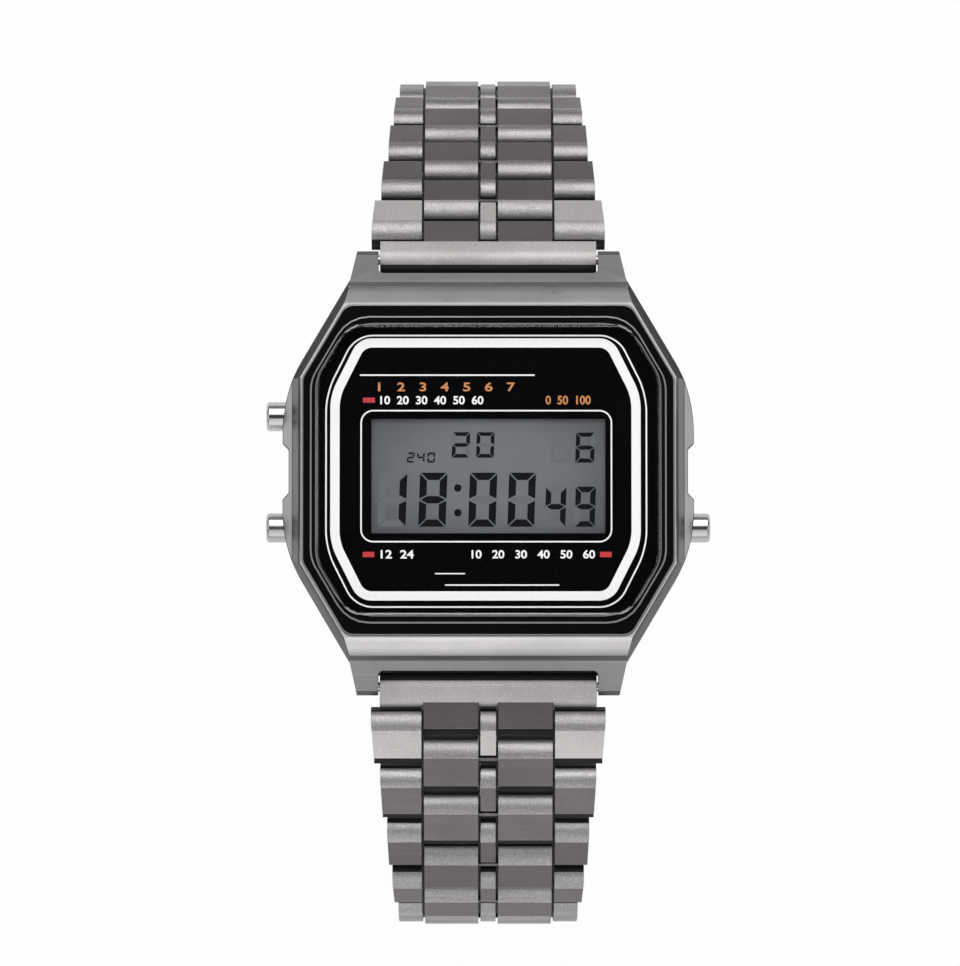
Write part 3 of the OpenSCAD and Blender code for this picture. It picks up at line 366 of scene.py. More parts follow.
# Crease facets: a darker copy of the case steel, which paints the shade in the crease
crease_steel = steel("crease_shaded", (0.16, 0.15, 0.155), 0.4, ALONG_X, edge=DIM_EDGE, bump=0.1)
land_steel = steel("land_polished", (0.80, 0.78, 0.78), 0.45, edge=(0.85, 0.84, 0.84), edge_rough=0.4,
                   bump=0.1)
# End lands: polished steel, made near-white and mostly not metal so that the fill lights them: a painted sheen
end_land_steel = steel("end_land_polished_painted_sheen", (0.90, 0.88, 0.88), 0.45, edge=(0.95, 0.94, 0.94),
                       edge_rough=0.4, bump=0.1, metal=0.3)
end_steel = steel("end_piece_satin", (0.60, 0.58, 0.575), 0.62, None, BLASTED, 0.3, bump=0.6)
strap_steel = steel("strap_gunmetal", (0.185, 0.170, 0.180), 0.32, ALONG_X, BLASTED, 0.12,
                    edge=(0.42, 0.41, 0.41), bump=0.4, metal=0.8)
# Curled ends of the links: lighter copies of the strap steel, which paint the highlight on the curls; the copy for
# the upper strap is darker, as its rows take less light
curl_highlight_steels = {
    "upper": steel("strap_curl_highlight_upper", (0.33, 0.315, 0.315), 0.38, ALONG_X, BLASTED, 0.35, edge=CURL_EDGE,
                   bump=0.6),
    "lower": steel("strap_curl_highlight_lower", (0.46, 0.445, 0.445), 0.48, ALONG_X, BLASTED, 0.35, edge=CURL_EDGE,
                   bump=0.6),
}
pale_strap_steel = steel("strap_pale_satin", (0.64, 0.62, 0.61), 0.40, None, BLASTED, 0.3, bump=0.6)
# Black that paints shade: on links and end pieces where their neighbours shade them, and in the lines round the
# case
link_black = steel("link_black", (0.02, 0.019, 0.02), 0.5, edge=(0.05, 0.048, 0.05), bump=0.1, metal=0.5)
clasp_steel = steel("clasp_brushed", (0.30, 0.285, 0.29), 0.32, ALONG_Y, BLASTED_CLASP, 0.1, edge=SATIN_EDGE)
back_steel = steel("back_brushed", (0.50, 0.49, 0.48), 0.34, ALONG_X, edge=(0.8, 0.79, 0.78))
button_steel = steel("button_polished", (0.60, 0.60, 0.61), 0.2, TURNED, bump=0.05, edge_rough=0.05)
bright_steel = steel("bright_steel", (0.72, 0.71, 0.71), 0.2, ALONG_X, bump=0.1)
brass = steel("sounder_brass", (0.72, 0.52, 0.22), 0.3, ALONG_X, bump=0.1, edge=(0.85, 0.68, 0.35))
# Grey on the broken edges of the bezel: a painted highlight along its steps
bezel_black = moulded("bezel_gloss_black", (0.004, 0.004, 0.005), 0.09, 0.04, coat=0.6, bump=0.0,
                      edge=(0.26, 0.26, 0.27))
panel_black = moulded("panel_gloss_black", (0.0015, 0.0014, 0.002), 0.07, 0.03, bump=0.01)
black_plastic = moulded("chip_black", (0.03, 0.03, 0.033), 0.5)
black_rubber = moulded("gasket_rubber", (0.02, 0.02, 0.02), 0.7, bump=0.3)
pale_rubber = moulded("contact_rubber", (0.62, 0.62, 0.58), 0.65, bump=0.3)
white_plastic = moulded("frame_plastic", (0.74, 0.74, 0.71), 0.45)
lamp_cream = moulded("lamp_lens", (0.9, 0.86, 0.68), 0.15, coat=0.5)
white_ink = ink("white_ink", (1.0, 1.0, 1.0))
orange_ink = ink("orange_ink", (0.62, 0.24, 0.07))
red_ink = ink("red_ink", (0.55, 0.02, 0.03))
digit_black = ink("digit_black", (0.004, 0.0045, 0.006), 0.3, 0.1)
faint_grey = ink("unlit_segment_grey", (0.138, 0.147, 0.150), 0.32, 0.3)
# Black of the blocks in the gaps between links: painted shade
gap_shade_black = moulded("gap_shade_black", (0.012, 0.012, 0.013), 0.5, bump=0.05)
display_grey = display_cell_material()
clear_glass = cover_glass_material()
board_green = board_material()


# Meshes

def finish_piece(bm, name, materials, body, replaced=(), even=True, sharp=50):
    """Makes the mesh an object that rides on body, shaded smooth up to its sharp edges."""
    mesh = bpy.data.meshes.new(name)
    bm.to_mesh(mesh)
    bm.free()
    mesh.shade_smooth()
    mesh.set_sharp_from_angle(angle=math.radians(sharp))
    piece = bpy.data.objects.new(name, mesh)
    bpy.context.scene.collection.objects.link(piece)
    for material in materials:
        mesh.materials.append(material)
    if even:
        piece.modifiers.new("even_shading", "WEIGHTED_NORMAL").keep_sharp = True
    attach(piece, body)
    if replaced:
        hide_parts(*replaced)
    return piece


def merged_copy(node):
    """A CAD node's mesh with its loose triangles joined and its flat faces whole."""
    bm = bmesh.new()
    bm.from_mesh(nodes[node].data)
    bmesh.ops.remove_doubles(bm, verts=bm.verts, dist=2e-6)
    bmesh.ops.dissolve_limit(bm, angle_limit=math.radians(1.5), verts=bm.verts, edges=bm.edges)
    return bm


def break_edges(bm, width, segments=2, sharp=35):
    """Rounds every sharp edge a little and marks the strips, which wear bright and carry a painted highlight."""
    mark = bm.loops.layers.float.new("broken_edge")
    edges = [e for e in bm.edges if e.is_manifold and e.calc_face_angle(0) > math.radians(sharp)]
    made = bmesh.ops.bevel(bm, geom=edges, offset=width * MM, offset_type="OFFSET", segments=segments,
                           profile=0.5, affect="EDGES", clamp_overlap=True, material=-1)
    for face in made["faces"]:
        for loop in face.loops:
            loop[mark] = 1.0


def solids_of(bm):
    """The separate solids of a mesh, each one as its list of faces."""
    left, parts = set(bm.faces), []
    while left:
        todo, part = [left.pop()], []
        while todo:
            face = todo.pop()
            part.append(face)
            for edge in face.edges:
                for other in edge.link_faces:
                    if other in left:
                        left.remove(other)
                        todo.append(other)
        parts.append(part)
    return parts


def softened(node, width, materials, pick=None, sharp=50):
    """A CAD node's shape with its edges broken. pick gives its faces their material slots."""
    bm = merged_copy(node)
    break_edges(bm, width)
    if pick:
        pick(bm)
    return finish_piece(bm, node + "_dressed", materials, body_of_node[node], [node], sharp=sharp)


def finish_node(node, material):
    """Gives a CAD node that is shown as it is its material."""
    nodes[node].data.materials.clear()
    nodes[node].data.materials.append(material)


# Case and bezel

# Finishes of the case, by the place that each one goes to. The crease, ledge, corners and black lines carry
# painted shade, the flank rim painted light and the end land a painted sheen
CASE_FINISHES = {
    "end": case_steel, "flank": flank_steel, "crease": crease_steel, "land": land_steel,
    "lower corner": corner_steel, "line": link_black, "ledge": ledge_steel, "flank rim": flank_painted_light,
    "upper corner": corner_shaded, "end land": end_land_steel,
}
CASE_SLOTS = {place: number for number, place in enumerate(CASE_FINISHES)}

# Distances from the middle of the case. The module lies within the first two
MODULE_X, MODULE_Y = 8.5 * MM, 12 * MM
CORNER_X, CORNER_Y = 9 * MM, 7 * MM
END_LAND_Y, END_Y = 13 * MM, 15 * MM

# Depths below the top of the case
LAND_DEPTH = 0.1 * MM
END_LAND_DEPTH = 0.13 * MM

# How far up a facet looks, as the z of its normal, and how far sideways
FLAT, NEARLY_FLAT = 0.97, 0.75
LEDGE_BELOW, CREASE_BELOW, RIM_ABOVE = 0.79, 0.62, 0.5
SLANTED_FROM, SLANTED_TO = 0.2, 0.7
SIDEWAYS = 0.3

# Black lines of painted shade round the case, along the folds between facets and at their edges: the places that
# they cross, and the depths of their lower and upper edges
CASE_LINES = [
    (("flank", "lower corner", "upper corner"), 0.35 * MM, 0.13 * MM),
    (("upper corner",), 0.84 * MM, 0.62 * MM),
    (("upper corner",), 2 * MM, 1.6 * MM),
]
RIM_LINE_W = 0.08 * MM


def case_place(face, top):
    """Name of the place on the case that a face belongs to, with the top of the case at this height."""
    n, at = face.normal, face.calc_center_median()
    outside = abs(at.x) > MODULE_X or abs(at.y) > MODULE_Y
    on_end = abs(at.y) > END_Y and abs(n.y) > 0.55 and abs(n.x) < SIDEWAYS and n.z > SLANTED_FROM
    on_flank = outside and abs(n.x) > SIDEWAYS and -0.2 < n.z < 0.9
    on_corner = abs(at.y) > CORNER_Y and abs(n.y) > 0.25 and n.z > 0.1
    if abs(at.y) > END_LAND_Y and n.z > NEARLY_FLAT and at.z > top - END_LAND_DEPTH:
        return "end land"
    if n.z > FLAT and at.z > top - LAND_DEPTH:
        return "lower corner" if at.y < -CORNER_Y and abs(at.x) > CORNER_X else "land"
    # The steepest end facets are the crease, in painted shade
    if on_end and n.z < CREASE_BELOW:
        return "crease"
    # The next steepest end facets are the ledge, darker as painted shade
    if on_end and n.z < LEDGE_BELOW:
        return "ledge"
    if on_flank and on_corner:
        # The upper corners take a darker steel than the lower ones: painted shade
        return "upper corner" if at.y > 0 else "lower corner"
    if on_flank:
        # Flank facets that look up take the lighter steel: painted light
        return "flank rim" if n.z > RIM_ABOVE else "flank"
    return "end"


def paint_shade_line(bm, places, start, end):
    """Paints a black line round the case, from start to end in height, on its slanted facets in places, as painted
    shade along a fold or edge.
    """
    slots = [CASE_SLOTS[place] for place in places]

    def crossed():
        return [f for f in bm.faces if f.material_index in slots and SLANTED_FROM < f.normal.z < SLANTED_TO]

    for height in (start, end):
        faces = crossed()
        edges = dict.fromkeys(e for f in faces for e in f.edges)
        verts = dict.fromkeys(v for f in faces for v in f.verts)
        bmesh.ops.bisect_plane(bm, geom=[*faces, *edges, *verts], dist=1e-7, plane_co=(0, 0, height),
                               plane_no=(0, 0, 1))
    for face in crossed():
        if start < face.calc_center_median().z < end:
            face.material_index = CASE_SLOTS["line"]


def pick_case(bm):
    """Brushed ends, satin flanks with darker corners, a shaded crease and a satin ledge at each end, and a bright
    land round the bezel. The darker corners, the upper ones darkest, the crease and the ledge are painted shade,
    the lighter rim of the flanks is painted light and the bright land at the ends is partly a painted sheen. Black
    lines of painted shade part the facets of the flanks and edge them inside and out."""
    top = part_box("case")[1].z
    for face in bm.faces:
        face.material_index = CASE_SLOTS[case_place(face, top)]
    for places, lower_edge, upper_edge in CASE_LINES:
        paint_shade_line(bm, places, top - lower_edge, top - upper_edge)
    # The black lines round the rims of the flanks are painted shade too
    rims = [f for f in bm.faces if f.material_index == CASE_SLOTS["flank rim"]]
    lines = bmesh.ops.inset_region(bm, faces=rims, thickness=RIM_LINE_W, use_boundary=True,
                                   use_even_offset=True)
    for face in lines["faces"]:
        face.material_index = CASE_SLOTS["line"]


# Painted highlight by the bezel and painted shade towards the crease on the end facets
paint_end_facet_light_and_shade(case_steel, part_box("bezel")[1].y)
softened("case", 0.09, list(CASE_FINISHES.values()), pick_case, 16)
softened("bezel", 0.07, [bezel_black], sharp=30)
softened("case_back", 0.06, [back_steel])
finish_node("face_panel", panel_black)


# Flat shapes and plates, in millimetres

def octagon(half_w, half_l, half_d, angle):
    """Corners of an eight-sided outline from its half width, half length and half distance across the
    slants, which look out at this angle from the x axis, in degrees."""
    c, s = math.cos(math.radians(angle)), math.sin(math.radians(angle))
    side_y = (half_d - half_w * c) / s
    end_x = (half_d - half_l * s) / c
    quarter = [(half_w, side_y), (end_x, half_l)]
    return [*quarter, *[(-x, y) for x, y in reversed(quarter)], *[(-x, -y) for x, y in quarter],
            *[(x, -y) for x, y in reversed(quarter)]]


def rectangle(x0, x1, y0, y1):
    return [(x0, y0), (x1, y0), (x1, y1), (x0, y1)]


def flat_face(bm, points, z, middle=(0, 0)):
    corners = [bm.verts.new(((x + middle[0]) * MM, (y + middle[1]) * MM, z * MM)) for x, y in points]
    face = bm.faces.new(corners)
    face.normal_update()
    return face


def round_corners(bm, face, radius, segments):
    """Rounds the corners of a single flat face and returns the face."""
    bmesh.ops.bevel(bm, geom=list(face.verts), offset=radius * MM, offset_type="OFFSET", segments=segments,
                    profile=0.5, affect="VERTICES", clamp_overlap=True, material=-1)
    bm.normal_update()
    return max(bm.faces, key=lambda f: f.calc_area())


def thicken(bm, faces, thickness):
    """Raises flat faces into plates."""
    made = bmesh.ops.extrude_face_region(bm, geom=faces)
    top = [v for v in made["geom"] if isinstance(v, bmesh.types.BMVert)]
    bmesh.ops.translate(bm, verts=top, vec=(0, 0, thickness * MM))
    bmesh.ops.recalc_face_normals(bm, faces=bm.faces)


def add_to(bm, other):
    """Moves another mesh into bm."""
    passing = bpy.data.meshes.new("passing")
    other.to_mesh(passing)
    other.free()
    bm.from_mesh(passing)
    bpy.data.meshes.remove(passing)


def add_plate(bm, outline, z, thickness):
    plate = bmesh.new()
    thicken(plate, [flat_face(plate, outline, z)], thickness)
    add_to(bm, plate)


def thin_layer(name, material, draw):
    """A piece made of the thin plates that draw lays on the panel or on the display."""
    bm = bmesh.new()
    draw(bm)
    finish_piece(bm, name, [material], "watch_case", even=False)


# Cover glass

def dress_glass():
    """Clear glass with a bevelled rim, and room under it for the print on the panel."""
    play = 0.01
    half_across, slant_angle = 15.89, 30.6
    corner_r, rim_w = 0.8, 0.22
    foot = panel_top + 0.04
    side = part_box("glass")[1]
    bm = bmesh.new()
    outline = octagon(side.x / MM - play, side.y / MM - play, half_across, slant_angle)
    face = round_corners(bm, flat_face(bm, outline, foot), corner_r, 8)
    thicken(bm, [face], glass_top - foot)
    rim = [e for e in bm.edges if all(abs(v.co.z / MM - glass_top) < 1e-3 for v in e.verts)]
    bmesh.ops.bevel(bm, geom=rim, offset=rim_w * MM, offset_type="OFFSET", segments=3, profile=0.5,
                    affect="EDGES", clamp_overlap=True, material=-1)
    finish_piece(bm, "cover_glass", [clear_glass], "watch_case", ["glass"])


dress_glass()


# Print on the face panel, in millimetres from the middle of the case

PRINT_T = 0.02

# Foot and top of the rows of numbers
HEAD_ROW, UPPER_ROW, LOWER_ROW = (6.45, 7.2), (5.38, 6.08), (-7.27, -6.57)
SCALE_ROW = (5.38, 6.1)

# Half width, half length, half distance across the slants and their angle, then line width, corner and middle
WHITE_RINGS = [
    ((12.73, 10.77, 14.12, 26.6), 0.76, 1.0, (-0.23, 0.05)),
    ((13.20, 11.21, 14.66, 26.6), 0.13, 1.4, (-0.17, -0.10)),
]
DISPLAY_FRAME, DISPLAY_FRAME_W, DISPLAY_FRAME_R = (-10.49, 10.16, -5.95, 4.93), 0.12, 1.05

# Left, right, foot and top of each line and mark
WHITE_LINES = [(-10.53, 3.80, 7.73, 7.85), (-4.37, -1.91, -8.56, -8.46), (-3.55, 5.81, -9.50, -9.39)]
RED_MARKS = [(-10.29, -9.30, 5.53, 5.94), (-10.29, -9.34, -7.16, -6.72), (9.15, 10.11, -7.16, -6.72)]


def printed_band(bm, outline, width, radius, segments, middle=(0, 0)):
    """Band of even width along the inside of an outline with rounded corners."""
    ring = bmesh.new()
    face = round_corners(ring, flat_face(ring, outline, panel_top, middle), radius, segments)
    bmesh.ops.inset_region(ring, faces=[face], thickness=width * MM, use_boundary=True, use_even_offset=True)
    inner = max(ring.faces, key=lambda f: f.calc_area())
    bmesh.ops.delete(ring, geom=[inner], context="FACES")
    thicken(ring, list(ring.faces), PRINT_T)
    add_to(bm, ring)


def numbers(bm, words, x0, x1, row, weight=0.022):
    """Plain numbers set between x0 and x1 in a row, with their strokes widened by weight."""
    curve = bpy.data.curves.new("numbers", "FONT")
    curve.body = words
    curve.size = 1.0
    curve.offset = weight
    lettered = bpy.data.objects.new("numbers", curve)
    bpy.context.scene.collection.objects.link(lettered)
    bpy.context.view_layer.update()
    flat = bpy.data.meshes.new_from_object(lettered.evaluated_get(bpy.context.evaluated_depsgraph_get()))
    bpy.data.objects.remove(lettered)
    bpy.data.curves.remove(curve)
    text = bmesh.new()
    text.from_mesh(flat)
    bpy.data.meshes.remove(flat)
    xs, ys = [v.co.x for v in text.verts], [v.co.y for v in text.verts]
    left, foot = min(xs), min(ys)
    scale_x, scale_y = (x1 - x0) / (max(xs) - left), (row[1] - row[0]) / (max(ys) - foot)
    for v in text.verts:
        v.co = Vector(((x0 + (v.co.x - left) * scale_x) * MM, (row[0] + (v.co.y - foot) * scale_y) * MM,
                       panel_top * MM))
    thicken(text, list(text.faces), PRINT_T)
    add_to(bm, text)


def draw_white(bm):
    for shape, width, radius, middle in WHITE_RINGS:
        printed_band(bm, octagon(*shape), width, radius, 6, middle)
    printed_band(bm, rectangle(*DISPLAY_FRAME), DISPLAY_FRAME_W, DISPLAY_FRAME_R, 8)
    for line in WHITE_LINES:
        add_plate(bm, rectangle(*line), panel_top, PRINT_T)
    numbers(bm, "10  20  30  40  50  60", -8.86, -0.40, UPPER_ROW)
    numbers(bm, "12  24", -8.82, -6.10, LOWER_ROW)
    numbers(bm, "10   20   30   40   50   60", -1.37, 8.75, LOWER_ROW)


def draw_orange(bm):
    numbers(bm, "1   2   3   4   5   6   7", -9.05, 2.2, HEAD_ROW)
    numbers(bm, "0  50  100", 4.7, 8.4, SCALE_ROW)


def draw_red(bm):
    for mark in RED_MARKS:
        add_plate(bm, rectangle(*mark), panel_top, PRINT_T)


thin_layer("face_print_white", white_ink, draw_white)
thin_layer("face_print_orange", orange_ink, draw_orange)
thin_layer("face_print_red", red_ink, draw_red)


# Display, in millimetres from the middle of the case

SEGMENT_T = 0.015

# Bars of each number, and how far it leans for each millimetre of height
STROKES = {
    "0": "abcdef", "1": "bc", "2": "abged", "3": "abgcd", "4": "fgbc", "5": "afgcd", "6": "afgedc",
    "7": "abc", "8": "abcdefg", "9": "abcdfg",
}
NUMBER_LEAN = 0.035

# Groups of numbers: foot, height and bar thickness, then each number with its left end and width
READOUT = [
    (-4.647, 4.44, 0.60, [("1", -8.94, 2.3), ("8", -5.60, 2.25), ("0", -1.50, 2.25), ("0", 1.72, 2.2)]),
    (-4.647, 3.29, 0.45, [("4", 4.74, 1.68), ("9", 7.18, 1.66)]),
    (1.03, 2.09, 0.30, [("2", -2.93, 1.45), ("0", -0.93, 1.45)]),
    (0.62, 2.47, 0.34, [("6", 7.22, 1.55)]),
]
TINY_NUMBERS = (0.62, 0.84, 0.15, [("2", -6.65, 0.62), ("4", -5.83, 0.62), ("0", -4.98, 0.62)])
SPARE_NUMBER = (0.62, 2.47, 0.30, 5.2, 1.55)
COLON_X, COLON_YS, COLON_R = -2.50, (-1.46, -3.50), 0.31


def segment(letter, w, h, s, g):
    """Outline of one bar of a seven-bar number that is w wide and h high, with bars s thick and gaps g."""
    m = h / 2
    return {
        "a": [(g, h), (w - g, h), (w - s - g, h - s), (s + g, h - s)],
        "d": [(g, 0), (s + g, s), (w - s - g, s), (w - g, 0)],
        "g": [(g * 1.5, m), (s + g, m + s / 2), (w - s - g, m + s / 2), (w - g * 1.5, m),
              (w - s - g, m - s / 2), (s + g, m - s / 2)],
        "f": [(0, h - g), (s, h - s - g), (s, m + s / 2 + g), (0, m + g)],
        "b": [(w, h - g), (w, m + g), (w - s, m + s / 2 + g), (w - s, h - s - g)],
        "e": [(0, g), (0, m - g), (s, m - s / 2 - g), (s, s + g)],
        "c": [(w, g), (w - s, s + g), (w - s, m - s / 2 - g), (w, m - g)],
    }[letter]


def draw_bars(bm, letters, x, y, w, h, s):
    gap = s * 0.14
    for letter in letters:
        points = [(x + px + (py - h) * NUMBER_LEAN, y + py) for px, py in segment(letter, w, h, s, gap)]
        add_plate(bm, points, display_top, SEGMENT_T)


def draw_lit(bm):
    for foot, height, thickness, row in READOUT:
        for number, left, width in row:
            draw_bars(bm, STROKES[number], left, foot, width, height, thickness)
    for y in COLON_YS:
        dot = bmesh.new()
        bmesh.ops.create_circle(dot, cap_ends=True, radius=COLON_R * MM, segments=24,
                                matrix=Matrix.Translation((COLON_X * MM, y * MM, display_top * MM)))
        thicken(dot, list(dot.faces), SEGMENT_T)
        add_to(bm, dot)
    foot, height, thickness, row = TINY_NUMBERS
    for number, left, width in row:
        draw_bars(bm, STROKES[number], left, foot, width, height, thickness)


def draw_unlit(bm):
    for foot, height, thickness, row in READOUT:
        for number, left, width in row:
            unlit = [bar for bar in STROKES["8"] if bar not in STROKES[number]]
            draw_bars(bm, unlit, left, foot, width, height, thickness)
    foot, height, thickness, left, width = SPARE_NUMBER
    draw_bars(bm, STROKES["8"], left, foot, width, height, thickness)


thin_layer("display_numbers", digit_black, draw_lit)
thin_layer("display_unlit_bars", faint_grey, draw_unlit)
finish_node("display_cell", display_grey)


# Bracelet

# Finishes of a row of links and of an end piece, in the order of their material slots
LINK, PALE_LINK, PIN, SHADED, CURL = range(5)
ROLL, TAB, SHADED_END = range(3)

# Where a face looks along the strap, into the loop, back over its curl or towards the end of the case, as the
# part of its normal in that direction
ALONG, INWARDS, CURLED, AT_CASE = 0.9, -0.6, -0.05, 0.4

# Height over the line of the hinges up to which a face is in the shade of its neighbours
SHADE_HEIGHT = 0.35 * MM

# Sizes in millimetres by which the solids of a row are told apart, and the strip at the outer side of an
# outer link that stays in the light
PIN_SIZE, CENTRE_TO, INNER_FROM, INNER_TO, OUTER_FROM = 1.3, 1, 0.7, 3, 5
LIT_STRIP = 0.2


def link_place(faces):
    """Least and greatest distance of a solid from the middle plane, in millimetres."""
    xs = [abs(v.co.x) / MM for face in faces for v in face.verts]
    return min(xs), max(xs)


def pick_row(first, start, way, out):
    """Pins are bright, and the outer and centre links of the first row are pale. What faces another link, which
    the light doesn't reach, is painted black as shade."""
    def shaded(face, edge):
        n, at = face.normal, face.calc_center_median()
        open_side = n.dot(out) < INWARDS or abs(n.x) > SIDEWAYS and abs(at.x) > edge
        return not open_side and (abs(n.x) > SIDEWAYS or n.dot(way) > ALONG
                                  or (at - start).dot(out) < SHADE_HEIGHT)

    def curled(face):
        return face.normal.dot(way) < CURLED

    def pick(bm):
        for faces in solids_of(bm):
            near, far = link_place(faces)
            ys = [v.co.y for face in faces for v in face.verts]
            zs = [v.co.z for face in faces for v in face.verts]
            size = math.hypot(max(ys) - min(ys), max(zs) - min(zs)) / MM
            is_outer = near > OUTER_FROM
            plain = PALE_LINK if first and (is_outer or far < CENTRE_TO) else LINK
            edge = (far - LIT_STRIP) * MM if is_outer else math.inf
            for face in faces:
                if size < PIN_SIZE:
                    face.material_index = PIN
                # Faces in the shade of their neighbours are painted black: painted shade
                elif shaded(face, edge):
                    face.material_index = SHADED
                else:
                    # Curled faces take the lighter steel: a painted highlight
                    face.material_index = CURL if curled(face) else plain
    return pick


def hinge(name):
    return next(Vector(j["pos_m"]) for j in frame["joints"] if j["name"] == name + "_hinge")


def column_gaps():
    """Ranges of x, in millimetres, of the gaps between the columns of links, with a little play."""
    outer_play, inner_play = 0.012, 0.006
    bm = merged_copy("upper_row_1")
    places = sorted(link_place(faces) for faces in solids_of(bm))
    bm.free()
    centre = places[0]
    inner = next(place for place in places if INNER_FROM < place[0] < INNER_TO)
    outer = next(place for place in places if place[0] > OUTER_FROM)
    return [(centre[1] + outer_play, inner[0] - inner_play), (inner[1] + inner_play, outer[0] - outer_play)]


def row_frame(start, end, side):
    """Direction of a row from its first hinge to its second, and the way that its outer face looks."""
    way = (end - start).normalized()
    return way, Vector((1, 0, 0)).cross(way) * (1 if side == "upper" else -1)


def dress_gap_shade(node, end, way, out, from_end):
    """Black blocks on the pins, set low between the columns of links, which paint the shade in the gaps between
    them. They start from_end before the end hinge and reach a little past it."""
    last = node in (f"upper_row_{row_counts['upper']}", f"lower_row_{row_counts['lower']}")
    past_end = 0.6 if last else 1.3
    thickness, rise = 0.6, 0.1
    length = (from_end + past_end) * MM
    middle = end - way * from_end * MM + way * length / 2 + out * rise * MM
    turn = Matrix((Vector((1, 0, 0)), way, out)).transposed().to_4x4()
    bm = bmesh.new()
    for x0, x1 in link_gaps:
        for side in (-1, 1):
            at = Matrix.Translation(middle + Vector((side * (x0 + x1) / 2 * MM, 0, 0)))
            size = Matrix.Diagonal(((x1 - x0) * MM, length, thickness * MM, 1))
            bmesh.ops.create_cube(bm, size=1.0, matrix=at @ turn @ size)
    finish_piece(bm, node + "_gap_shade", [gap_shade_black], body_of_node[node], even=False)


def dress_rows(side, count):
    strap_end = {"upper": Vector(sum((Vector(c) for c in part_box("clasp_bar")), Vector())) / 2,
                 "lower": hinge("lower_blade")}[side]
    hinges = [hinge(f"{side}_row_{k}") for k in range(1, count + 1)] + [strap_end]
    bar = hinge(f"{side}_end_piece")
    short, past_middle = 0.7, 1
    dress_gap_shade(f"{side}_end_piece", hinges[0], *row_frame(bar, hinges[0], side), short)
    for k, (start, end) in enumerate(zip(hinges, hinges[1:]), 1):
        node = f"{side}_row_{k}"
        way, out = row_frame(start, end, side)
        # Painted highlight on the curls, darker on the upper strap past its first row
        curl = curl_highlight_steels["upper" if side == "upper" and k > 1 else "lower"]
        softened(node, 0.09, [strap_steel, pale_strap_steel, bright_steel, link_black, curl],
                 pick_row(k == 1, start, way, out))
        dress_gap_shade(node, end, way, out, (end - start).length / MM / 2 + past_middle)


def dress_end_piece(side):
    """The roll is pale and the two tabs behind it are dark. What faces the end of the case, looks sideways or lies
    in the shade on the tabs is painted black as shade.
    """
    bar, pin = hinge(f"{side}_end_piece"), hinge(f"{side}_row_1")
    way, out = row_frame(bar, pin, side)
    tab_length = 0.95 * MM
    roll_end = (pin - bar).length - tab_length
    towards_case = -1 if side == "upper" else 1

    def pick(bm):
        for face in bm.faces:
            n, at = face.normal, face.calc_center_median() - bar
            on_tab = at.dot(way) > roll_end
            tab_shaded = on_tab and (n.dot(way) > ALONG or at.dot(out) < SHADE_HEIGHT)
            # Faces towards the case, sideways or in the shade on the tabs are painted black: painted shade
            shaded = n.y * towards_case > AT_CASE or abs(n.x) > SIDEWAYS or tab_shaded
            face.material_index = SHADED_END if shaded else TAB if on_tab else ROLL
    softened(f"{side}_end_piece", 0.07, [end_steel, strap_steel, link_black], pick)


link_gaps = column_gaps()
row_counts = {side: sum(n.startswith(f"{side}_row_") for n in nodes) for side in ("upper", "lower")}
for side, count in row_counts.items():
    dress_rows(side, count)
    dress_end_piece(side)


# Clasp

for node in ("clasp_cover", "lower_blade", "middle_blade"):
    softened(node, 0.1, [clasp_steel])
for node in ("clasp_bar", "fold_pin", "cover_pins", "spring_bars"):
    finish_node(node, bright_steel)


# Buttons and their springs

def wound_wire(low, high, wire, turns, steps):
    """Round wire of this radius, wound along x in the box from low to high, with steps to each turn."""
    y, z = (low.y + high.y) / 2, (low.z + high.z) / 2
    start = Matrix.Translation((low.x + wire, y, high.z - wire)) @ Matrix.Rotation(math.pi / 2, 4, "X")
    bm = bmesh.new()
    bmesh.ops.create_circle(bm, radius=wire, segments=12, matrix=start)
    bmesh.ops.spin(bm, geom=[*bm.verts, *bm.edges], cent=(low.x, y, z), axis=(1, 0, 0),
                   dvec=((high.x - low.x - 2 * wire) / (turns * steps), 0, 0), angle=2 * math.pi * turns,
                   steps=turns * steps, use_duplicate=False)
    bmesh.ops.remove_doubles(bm, verts=bm.verts, dist=1e-7)
    bmesh.ops.holes_fill(bm, edges=bm.edges, sides=0)
    bmesh.ops.recalc_face_normals(bm, faces=bm.faces)
    return bm


def dress_spring(name):
    """Wire wound over the same turns as the solid that it stands for, which shortens with its button."""
    low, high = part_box(name + "_spring")
    spring = finish_piece(wound_wire(low, high, 0.11 * MM, 2, 28), name + "_spring_wire", [bright_steel],
                          "watch_case", [name + "_spring"], even=False)
    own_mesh(spring)


for name in ("upper_left", "lower_left", "lower_right"):
    finish_node(name + "_button", button_steel)
    finish_node(name + "_clip", bright_steel)
    dress_spring(name)


# Pieces inside the case

INSIDE = {
    "reflector": bright_steel, "contact_strips": pale_rubber, "module_frame": white_plastic,
    "circuit_board": board_green, "processor_chip": black_plastic, "quartz_crystal": bright_steel,
    "lamp": lamp_cream, "battery": bright_steel, "battery_clamp": bright_steel, "buzzer_disc": brass,
    "case_gasket": black_rubber, "case_screws": bright_steel, "button_seals": black_rubber,
}
for node, material in INSIDE.items():
    finish_node(node, material)


# Floor, camera and light

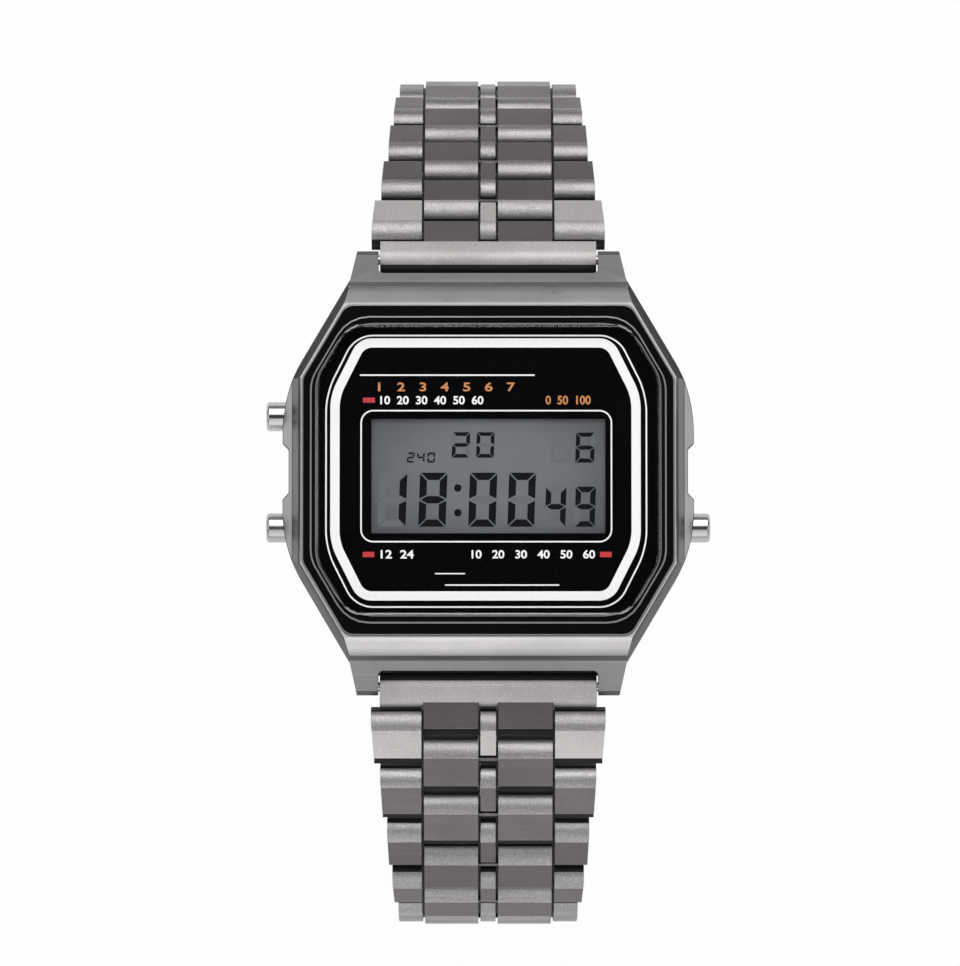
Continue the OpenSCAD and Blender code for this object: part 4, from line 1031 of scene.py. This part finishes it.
def floor():
    """Set low, to leave room for the clasp where it swings down."""
    depth = 0.04
    bm = bmesh.new()
    bmesh.ops.create_grid(bm, x_segments=1, y_segments=1, size=2.0, matrix=Matrix.Translation((0, 0, -depth)))
    mesh = bpy.data.meshes.new("table")
    bm.to_mesh(mesh)
    bm.free()
    table = bpy.data.objects.new("table", mesh)
    bpy.context.scene.collection.objects.link(table)
    material, tree, shader, _ = new_material("white_table")
    shader.inputs["Base Color"].default_value = (0.8, 0.8, 0.8, 1)
    shader.inputs["Roughness"].default_value = 0.9
    rays = put(tree, "ShaderNodeLightPath")
    seen = sum_of(tree, sum_of(tree, rays.outputs["Is Camera Ray"], rays.outputs["Is Glossy Ray"], "MAXIMUM"),
                  rays.outputs["Is Transmission Ray"], "MAXIMUM")
    white = put(tree, "ShaderNodeEmission", Color=(1, 1, 1, 1), Strength=1.0)
    share = sum_of(tree, seen, 0.96, "MULTIPLY")
    mix = put(tree, "ShaderNodeMixShader", i0=share, i1=shader.outputs[0], i2=white.outputs[0])
    tree.links.new(mix.outputs[0], tree.nodes["Material Output"].inputs["Surface"])
    mesh.materials.append(material)


def soft_box(name, azimuth, off_top, size, strength, distance=0.7, glossy=True):
    """Soft light, off_top degrees from straight overhead, with its size at half a metre and its brightness.
    One that isn't glossy gives an even fill that polished faces don't mirror."""
    size = [side * distance / 0.5 for side in size]
    lamp = bpy.data.lights.new(name, "AREA")
    lamp.shape = "RECTANGLE"
    lamp.size, lamp.size_y = size
    lamp.energy = strength * math.pi * size[0] * size[1]
    light = bpy.data.objects.new(name, lamp)
    bpy.context.scene.collection.objects.link(light)
    a, t = math.radians(azimuth), math.radians(off_top)
    way = Vector((math.sin(t) * math.sin(a), math.sin(t) * math.cos(a), math.cos(t)))
    middle = Vector((0, 0, 0.03))
    light.location = middle + way * distance
    light.rotation_mode = "QUATERNION"
    light.rotation_quaternion = (-way).to_track_quat("-Z", "Y")
    light.visible_glossy = light.visible_transmission = glossy


def sky():
    """Plain studio: bright near the horizon in front, dimmer behind, dark overhead, where the camera is."""
    world = bpy.data.worlds.new("studio")
    bpy.context.scene.world = world
    world.use_nodes = True
    tree = world.node_tree
    way = put(tree, "ShaderNodeTexCoord").outputs["Generated"]
    parts = put(tree, "ShaderNodeSeparateXYZ", Vector=way).outputs
    glow = ramp(tree, parts["Z"], 0.0, 0.9, 0.8, 0.015)
    behind = ramp(tree, parts["Y"], -0.5, 0.6, 1.0, 0.35)
    tree.links.new(sum_of(tree, glow, behind, "MULTIPLY"), tree.nodes["Background"].inputs["Strength"])
    tree.nodes["Background"].inputs["Color"].default_value = (1, 1, 1, 1)


def camera():
    """Stands half a metre over the face, leaning a little towards the lower strap, as in the photo."""
    aim, lean, distance = Vector((-0.68, -0.87, 36.5)) * MM, math.radians(3), 0.5
    data = bpy.data.cameras.new("camera")
    view = bpy.data.objects.new("camera", data)
    bpy.context.scene.collection.objects.link(view)
    bpy.context.scene.camera = view
    data.sensor_fit = "HORIZONTAL"
    data.sensor_width = 36.0
    data.lens = 226.9
    data.clip_start = 0.05
    back = Vector((0, -math.sin(lean), math.cos(lean)))
    view.location = aim + back * distance
    view.rotation_mode = "QUATERNION"
    view.rotation_quaternion = (-back).to_track_quat("-Z", "Y")


floor()
soft_box("front_box", 180, 44, (0.44, 0.50), 1.0)
soft_box("rear_box", 0, 38, (0.40, 0.42), 3.1)
soft_box("overhead_fill", 0, 0, (0.5, 0.5), 0.8, glossy=False)
soft_box("left_box", -90, 42, (0.24, 0.24), 1.2)
soft_box("right_box", 90, 42, (0.24, 0.24), 1.2)
sky()
camera()
bpy.context.scene.view_settings.view_transform = "Standard"
